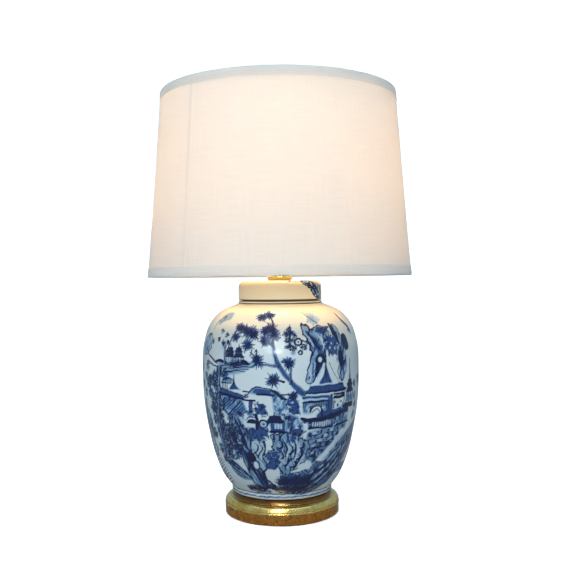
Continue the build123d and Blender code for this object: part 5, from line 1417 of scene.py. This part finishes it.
def cloth_piece(name, points, slot, material, double, wide, tall, along=True):
    """A piece of lit cloth that rides on the shade. double is how doubled it is at each point. Its second UV
    map is in mm, the first one stretched to the cloth's real width and height."""
    piece = new_piece(name, points, "shade", material, along)
    note(piece, "double", np.broadcast_to(double, points.shape[:2]))
    source = piece.data.uv_layers["OFBake"].data
    grid = np.empty(2 * len(source), np.float32)
    source.foreach_get("uv", grid)
    grid = grid.reshape(-1, 2) * np.array([wide, tall])
    piece.data.uv_layers.new(name="cloth").data.foreach_set("uv", grid.astype(np.float32).ravel())
    return piece


def make_shade_cloth(sizes, material):
    """Cloth on its liner: a closed cone shell. Its outside stands a cloth's thickness proud along the seam,
    and the whole wanders in and out by a few tenths of a mm, as glued cloth does."""
    wall = sizes.cloth_thickness / MM
    lap = math.degrees(SEAM_WIDTH / SHADE_TOP_RADIUS)
    steps = SEAM_TURN + np.array([0, SEAM_STEP, lap - SEAM_STEP, lap])
    angles = np.unique(np.concatenate([np.arange(-180, 180, 1.0), steps]))
    outer = np.linspace(SHADE_BOTTOM, SHADE_TOP, 36)
    level = np.concatenate([outer, outer[::-1]])[:, None]
    turn = np.radians(angles)[None, :]
    wander = 0.22 * np.sin(3 * turn + level / 60) + 0.14 * np.sin(11 * turn - level / 45)
    wander = wander * np.sin(np.pi * (level - SHADE_BOTTOM) / SHADE_TALL)
    inside = np.arange(len(level))[:, None] >= len(outer)
    lapped = (angles > SEAM_TURN + SEAM_STEP / 2) & (angles < SEAM_TURN + lap - SEAM_STEP / 2)
    lapped = lapped[None, :] & ~inside
    radius = panel_radius(level) - wall * inside + wander + SEAM_PROUD * lapped
    fade = np.interp(level, (SHADE_BOTTOM, SHADE_TOP), (0.3, 1.0))
    cloth = cloth_piece("shade_cloth", round_about(radius, angles, level), "shade_linen", material,
                        lapped * fade, math.tau * SHADE_WIDEST, 2 * SHADE_SLANT)
    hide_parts("shade_panel")
    return cloth


def ribbon(centre, thickness):
    """The closed outline of a ribbon's section: its middle line moved half its thickness to each side."""
    step = np.gradient(centre, axis=0)
    across = np.stack([step[:, 1], -step[:, 0]], axis=-1) / np.hypot(*step.T)[:, None]
    return np.vstack([centre + across * thickness / 2, (centre - across * thickness / 2)[::-1]])


def make_tape(rim, sizes, material):
    """The binding tape: down the outside, round the rim and its wire, and up the inside, with soft folds."""
    wide = sizes.tape_width / MM
    out = -GLUE - TAPE / 2
    within = LINER + GLUE + TAPE / 2
    middle = smooth_path([(out, wide), (out, 0.6 * wide), (out, 2.0), (0.2, out), (2.2, out),
                          (LINER + RIM_WIRE + TAPE / 2 + GLUE, 1.5), (2.6, RIM_WIRE + 1.2),
                          (1.4, RIM_WIRE + 2.6), (within, 7.0), (within, TAPE_INSIDE)], 4)
    section = ribbon(middle, TAPE)
    edge, inward = {"top": (SHADE_TOP, -1), "bottom": (SHADE_BOTTOM, 1)}[rim]
    level = edge + inward * section[:, 1]
    radius = panel_radius(edge) - (level - edge) * SHADE_FLARE / SHADE_TALL - section[:, 0]
    level, radius = level[::-inward], radius[::-inward]
    angles = all_round(TAPE_COLUMNS)
    ease = 1 + 0.0004 * np.sin(np.radians(angles) * 17)[None, :]
    tape = cloth_piece(f"shade_{rim}_binding", round_about(radius[:, None] * ease, angles, level[:, None]),
                       "binding_tape", material, 0, math.tau * radius.max(),
                       2 * (wide + TAPE_INSIDE + RIM_WIRE))
    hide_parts(f"shade_{rim}_tape")
    return tape


def make_tape_end(material):
    """The top tape's cut end, which has come away from the cloth: a short strip that bends outwards. It is
    TAPE_END_HALF wide on each side of its middle, and stands off more steeply towards its end."""
    width = np.linspace(-TAPE_END_HALF, TAPE_END_HALF, 7)[None, :]
    run = np.linspace(0, 1, 12)[:, None]
    level = SHADE_TOP - TAPE_END_TOP - TAPE_END_LONG * run
    off = 0.75 + 3.2 * run**2.2 + 0.25 * np.sin(9 * run) * run
    face = panel_radius(level) + off
    turn = TAPE_END_TURN + np.degrees(width / face)
    back, front = (round_about(face + lift, turn, level) for lift in (0.0, TAPE * 0.8))
    rows = np.concatenate([front, back[:, ::-1]], axis=1)
    return cloth_piece("tape_end", rows, "binding_tape", material, 0, *TAPE_END_CLOTH, along=False)


# ------------------------------------------------------------------ the rest of the lamp
FELT_EDGE = 0.6
FELT_COLUMNS = 120


def make_felt(material):
    """The felt disc: flat faces with a soft, slightly uneven edge. Its first and last rows lie at the middle,
    where their points are merged into one."""
    turn = all_round(FELT_COLUMNS)
    edge = FELT_RADIUS - 0.5 + 0.2 * np.sin(np.radians(turn) * 23) + 0.2 * np.sin(np.radians(turn) * 7)
    share = np.array([0, 0.4, 0.8, 1, 1, 1, 0.8, 0.4, 0])[:, None]
    inset = np.array([0, 0, 0, FELT_EDGE, 0, FELT_EDGE, 0, 0, 0])[:, None]
    level = np.array([FELT_BOTTOM] * 4 + [(FELT_BOTTOM + FELT_TOP) / 2] + [FELT_TOP] * 4)[:, None]
    felt_disc = new_piece("felt_disc", round_about(edge * share - inset, turn, level), "stand",
                          material)
    mesh = bmesh.new()
    mesh.from_mesh(felt_disc.data)
    bmesh.ops.remove_doubles(mesh, verts=mesh.verts, dist=0.01 * MM)
    mesh.to_mesh(felt_disc.data)
    mesh.free()
    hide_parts("felt_pad")
    return felt_disc


# The plain finishes: colour, the colour it drifts to, range of roughness, depth of its grain in mm.
METALS = {
    "zinc_steel": ((176, 178, 180), (150, 150, 148), (0.25, 0.4)),
    "polished_brass": ((200, 190, 130), (182, 165, 104)),
    "screw_brass": ((206, 176, 112), (170, 142, 88), (0.3, 0.45)),
    "cap_aluminium": ((204, 205, 207), (176, 176, 176), (0.25, 0.4)),
    "solder": ((168, 169, 172), (140, 140, 142), (0.35, 0.5), 0.04),
    "lead_wire": ((150, 146, 138), (120, 116, 108), (0.25, 0.4)),
    "filament": ((255, 214, 150), (240, 180, 100), (0.4, 0.6)),
}
MOULDINGS = {
    "black_bush": ((28, 28, 29), (52, 50, 48)),
    "gasket_rubber": ((34, 33, 33), (60, 58, 55), (0.6, 0.75)),
    "black_moulding": ((30, 27, 25), (58, 54, 50), (0.3, 0.45)),
    "liner_board": ((190, 164, 122), (168, 140, 100), (0.7, 0.85), 0.05),
    "knob_plastic": ((34, 30, 28), (60, 56, 52), (0.15, 0.28), 0.01),
    "black_glass": ((24, 24, 28), (40, 40, 44), (0.08, 0.16), 0.01),
    "white_enamel": ((232, 230, 222), (206, 200, 184), (0.25, 0.4), 0.02),
}


def plain(name):
    """The plain finish of that name, a metal or a moulding."""
    make, finishes = (metal, METALS) if name in METALS else (moulded, MOULDINGS)
    colour, second, *rest = finishes[name]
    return make(name, shown(*colour), shown(*second), *rest)


def dress_plain(*slots):
    """Gives slots the plain finish of their own name."""
    for slot in slots:
        dress(slot, plain(slot))


def dress(slot, material):
    """Gives every CAD node of one of the record's material slots its finish."""
    for part in frame["record"]["subparts"]:
        if part["material_slot"] == slot:
            mesh = frame["nodes"][part["node"]].data
            mesh.materials.clear()
            mesh.materials.append(material)


# ------------------------------------------------------------------ the studio
CAMERA_DISTANCE = 1.243
CAMERA_HEIGHT = 0.356
CAMERA_LENS = 50.4
CAMERA_ROLL = 0.6            # degrees; the lamp in the photograph leans a little to the left
CAMERA_SHIFT = (0.009, -0.0063)
SENSOR = 36                  # mm
# The lit panels: where each stands, what it faces, its size, power, colour, and the full angle of its beam.
PANELS = {
    "front_window": ((-0.3, -2.4, 1.0), (0, 0, 0.4), (1.2, 1.0), 18, (0.72, 0.88, 1.0), 180),
    "shade_light": ((-0.1, -1.6, 0.62), (0, 0, 0.54), (0.3, 0.3), 0.19, (0.9, 1.0, 1.0), 24),
    "base_light": ((-0.05, -0.8, 1.0), (0, -0.05, 0.02), (0.6, 0.09), 0.16, (1.0, 1.0, 0.92), 24),
}
OVERHEAD_HEIGHT = 3.0
OVERHEAD_POWER = 0.7
OVERHEAD_ANGLE = 70          # degrees of sky that the light from above comes from
SURROUND_COLOUR = (0.62, 0.84, 1.0, 1.0)
SURROUND_SEEN = 1.9          # its strength where the camera sees it
SURROUND_LIGHT = 0.5         # its strength as a light
FLOOR_COLUMNS = 64
FLOOR_RINGS = (0.0, 500.0, 4000.0, 60000.0)
FLOOR_GLOW = 0.62            # keeps the floor white where the camera sees it
FLOOR_BOUNCE = 0.32          # its grey, as the lamp sees it


def soft_light(name, strength):
    """One of the lit panels, turned to what it faces."""
    place, target, size, power, colour, spread = PANELS[name]
    lamp = bpy.data.lights.new(name, "AREA")
    lamp.shape = "RECTANGLE"
    lamp.size, lamp.size_y = size
    lamp.energy = power * strength
    lamp.color = colour
    lamp.spread = math.radians(spread)
    holder = link(name, lamp)
    holder.location = place
    x, y, z = np.array(target) - np.array(place)
    holder.rotation_euler = (math.atan2(math.hypot(x, y), -z), 0, math.atan2(-x, y))


def overhead_light(strength):
    """Soft light from straight above, the same all over the floor."""
    lamp = bpy.data.lights.new("overhead", "SUN")
    lamp.energy = OVERHEAD_POWER * strength
    lamp.angle = math.radians(OVERHEAD_ANGLE)
    link("overhead", lamp).location = (0, 0, OVERHEAD_HEIGHT)


def make_world(strength):
    """A white surround: bright where the camera sees it, dimmer as a light."""
    world = bpy.data.worlds.new("studio")
    bpy.context.scene.world = world
    world.use_nodes = True
    tree = world.node_tree
    tree.nodes.clear()
    path, level, back, out = (tree.nodes.new("ShaderNode" + kind)
                              for kind in ("LightPath", "MapRange", "Background", "OutputWorld"))
    level.inputs["To Min"].default_value = SURROUND_LIGHT * strength
    level.inputs["To Max"].default_value = SURROUND_SEEN
    back.inputs["Color"].default_value = SURROUND_COLOUR
    tree.links.new(path.outputs["Is Camera Ray"], level.inputs["Value"])
    tree.links.new(level.outputs["Result"], back.inputs["Strength"])
    tree.links.new(back.outputs["Background"], out.inputs["Surface"])


def make_floor():
    """A plain pale floor, level with the underside of the felt: a disc worked out as rings. Its middle is one
    face, round which the other rings are joined."""
    n = FLOOR_COLUMNS
    points = round_about(np.array(FLOOR_RINGS), all_round(n), np.zeros(len(FLOOR_RINGS)))
    faces = [[(i + 1) * n + j, (i + 1) * n + (j + 1) % n, i * n + (j + 1) % n, i * n + j]
             for i in range(1, len(FLOOR_RINGS) - 1) for j in range(n)]
    mesh = bpy.data.meshes.new("floor")
    mesh.from_pydata(points.reshape(-1, 3).tolist(), [], faces + [list(range(n, 2 * n))])
    floor = link("floor", mesh)
    f = Finish("floor_paper")
    seen = f.add("LightPath").outputs["Is Camera Ray"]
    tone = f.blend(f.noise(400, 2.0), [0.93] * 3, [0.95] * 3)
    mesh.materials.append(f.principled({
        "Base Color": f.blend(seen, [FLOOR_BOUNCE] * 3, tone), "Roughness": 0.9,
        "Emission Color": (1, 1, 1, 1), "Emission Strength": f.maths("MULTIPLY", seen, FLOOR_GLOW)}))


def make_camera():
    """The photograph's camera, level and turned a little about its own axis."""
    camera = bpy.data.cameras.new("camera")
    camera.lens = CAMERA_LENS
    camera.sensor_width = SENSOR
    camera.shift_x, camera.shift_y = CAMERA_SHIFT
    holder = link("camera", camera)
    holder.location = (0, -CAMERA_DISTANCE, CAMERA_HEIGHT)
    holder.rotation_euler = (math.radians(90), math.radians(CAMERA_ROLL), 0)
    bpy.context.scene.camera = holder


# ------------------------------------------------------------------ operators
class JARLAMP_OT_stage(bpy.types.Operator):
    """Make the pale floor, the white surround, the soft lights and the camera"""

    bl_idname = "jar_lamp.stage"
    bl_label = "Studio"
    bl_options = {"REGISTER", "UNDO"}

    def execute(self, context):
        strength = context.scene.jar_lamp_sizes.studio_light
        make_floor()
        make_world(strength)
        for name in PANELS:
            soft_light(name, strength)
        overhead_light(strength)
        make_camera()
        context.scene.view_settings.view_transform = "Standard"
        return {"FINISHED"}


class JARLAMP_OT_porcelain(bpy.types.Operator):
    """Make the jar and its lid with their painting under the glaze"""

    bl_idname = "jar_lamp.porcelain"
    bl_label = "Painted jar and lid"
    bl_options = {"REGISTER", "UNDO"}

    def execute(self, context):
        material = glazed_porcelain(context.scene.jar_lamp_colours)
        make_jar(context.scene.jar_lamp_sizes, material)
        make_lid(material)
        return {"FINISHED"}


class JARLAMP_OT_shade(bpy.types.Operator):
    """Make the shade's cloth, its binding tapes and the tape's loose end"""

    bl_idname = "jar_lamp.shade"
    bl_label = "Shade"
    bl_options = {"REGISTER", "UNDO"}

    def execute(self, context):
        sizes, colours = context.scene.jar_lamp_sizes, context.scene.jar_lamp_colours
        linen = lit_cloth("shade_linen", colours.linen, colours.linen_through, 0.5)
        tape = lit_cloth("binding_tape", colours.tape, colours.tape, 0.12, 1.3, 0.12)
        cloth = make_shade_cloth(sizes, linen)
        tapes = [make_tape("top", sizes, tape), make_tape("bottom", sizes, tape), make_tape_end(tape)]
        dress("white_wire", plain("white_enamel"))
        return {"FINISHED"}


class JARLAMP_OT_base(bpy.types.Operator):
    """Gild the turned base and make the felt under it"""

    bl_idname = "jar_lamp.base"
    bl_label = "Gilded base and felt"
    bl_options = {"REGISTER", "UNDO"}

    def execute(self, context):
        dress("gold_leaf", gold_leaf(context.scene.jar_lamp_colours))
        felt_disc = make_felt(felt(shown(44, 62, 46)))
        dress_plain("black_bush", "gasket_rubber", "zinc_steel")
        return {"FINISHED"}


class JARLAMP_OT_fittings(bpy.types.Operator):
    """Finish the brass, the socket and the switch"""

    bl_idname = "jar_lamp.fittings"
    bl_label = "Brass, socket and switch"
    bl_options = {"REGISTER", "UNDO"}

    def execute(self, context):
        dress_plain("polished_brass", "screw_brass", "black_moulding", "liner_board", "knob_plastic")
        return {"FINISHED"}


class JARLAMP_OT_bulb(bpy.types.Operator):
    """Light the bulb and finish its cap, stem and wires"""

    bl_idname = "jar_lamp.bulb"
    bl_label = "Bulb"
    bl_options = {"REGISTER", "UNDO"}

    def execute(self, context):
        sizes, colours = context.scene.jar_lamp_sizes, context.scene.jar_lamp_colours
        dress("frosted_glass", glowing_glass(colours, sizes.bulb_light))
        dress("stem_glass", clear_glass("stem_glass", shown(238, 244, 242)))
        dress_plain("cap_aluminium", "black_glass", "solder", "lead_wire", "filament")
        return {"FINISHED"}


class JARLAMP_PT_panel(bpy.types.Panel):
    """The lamp's settings and its buttons, in the 3D view's sidebar"""

    bl_label = "Ginger Jar Lamp"
    bl_idname = "JARLAMP_PT_panel"
    bl_space_type = "VIEW_3D"
    bl_region_type = "UI"
    bl_category = "Jar Lamp"

    def draw(self, context):
        for settings in (context.scene.jar_lamp_sizes, context.scene.jar_lamp_colours):
            box = self.layout.box()
            for name in settings.__annotations__:
                box.prop(settings, name)
        for operator in OPERATORS:
            self.layout.operator(operator.bl_idname)


OPERATORS = (JARLAMP_OT_stage, JARLAMP_OT_porcelain, JARLAMP_OT_shade, JARLAMP_OT_base, JARLAMP_OT_fittings,
             JARLAMP_OT_bulb)
CLASSES = (LampColours, LampSizes, *OPERATORS, JARLAMP_PT_panel)


def register():
    for item in CLASSES:
        bpy.utils.register_class(item)
    bpy.types.Scene.jar_lamp_sizes = bpy.props.PointerProperty(type=LampSizes)
    bpy.types.Scene.jar_lamp_colours = bpy.props.PointerProperty(type=LampColours)


def unregister():
    del bpy.types.Scene.jar_lamp_colours
    del bpy.types.Scene.jar_lamp_sizes
    for item in reversed(CLASSES):
        bpy.utils.unregister_class(item)


def main():
    """Dresses the whole lamp."""
    register()
    bpy.ops.jar_lamp.stage()
    bpy.ops.jar_lamp.porcelain()
    bpy.ops.jar_lamp.shade()
    bpy.ops.jar_lamp.base()
    bpy.ops.jar_lamp.fittings()
    bpy.ops.jar_lamp.bulb()


if __name__ == "__main__":
    main()
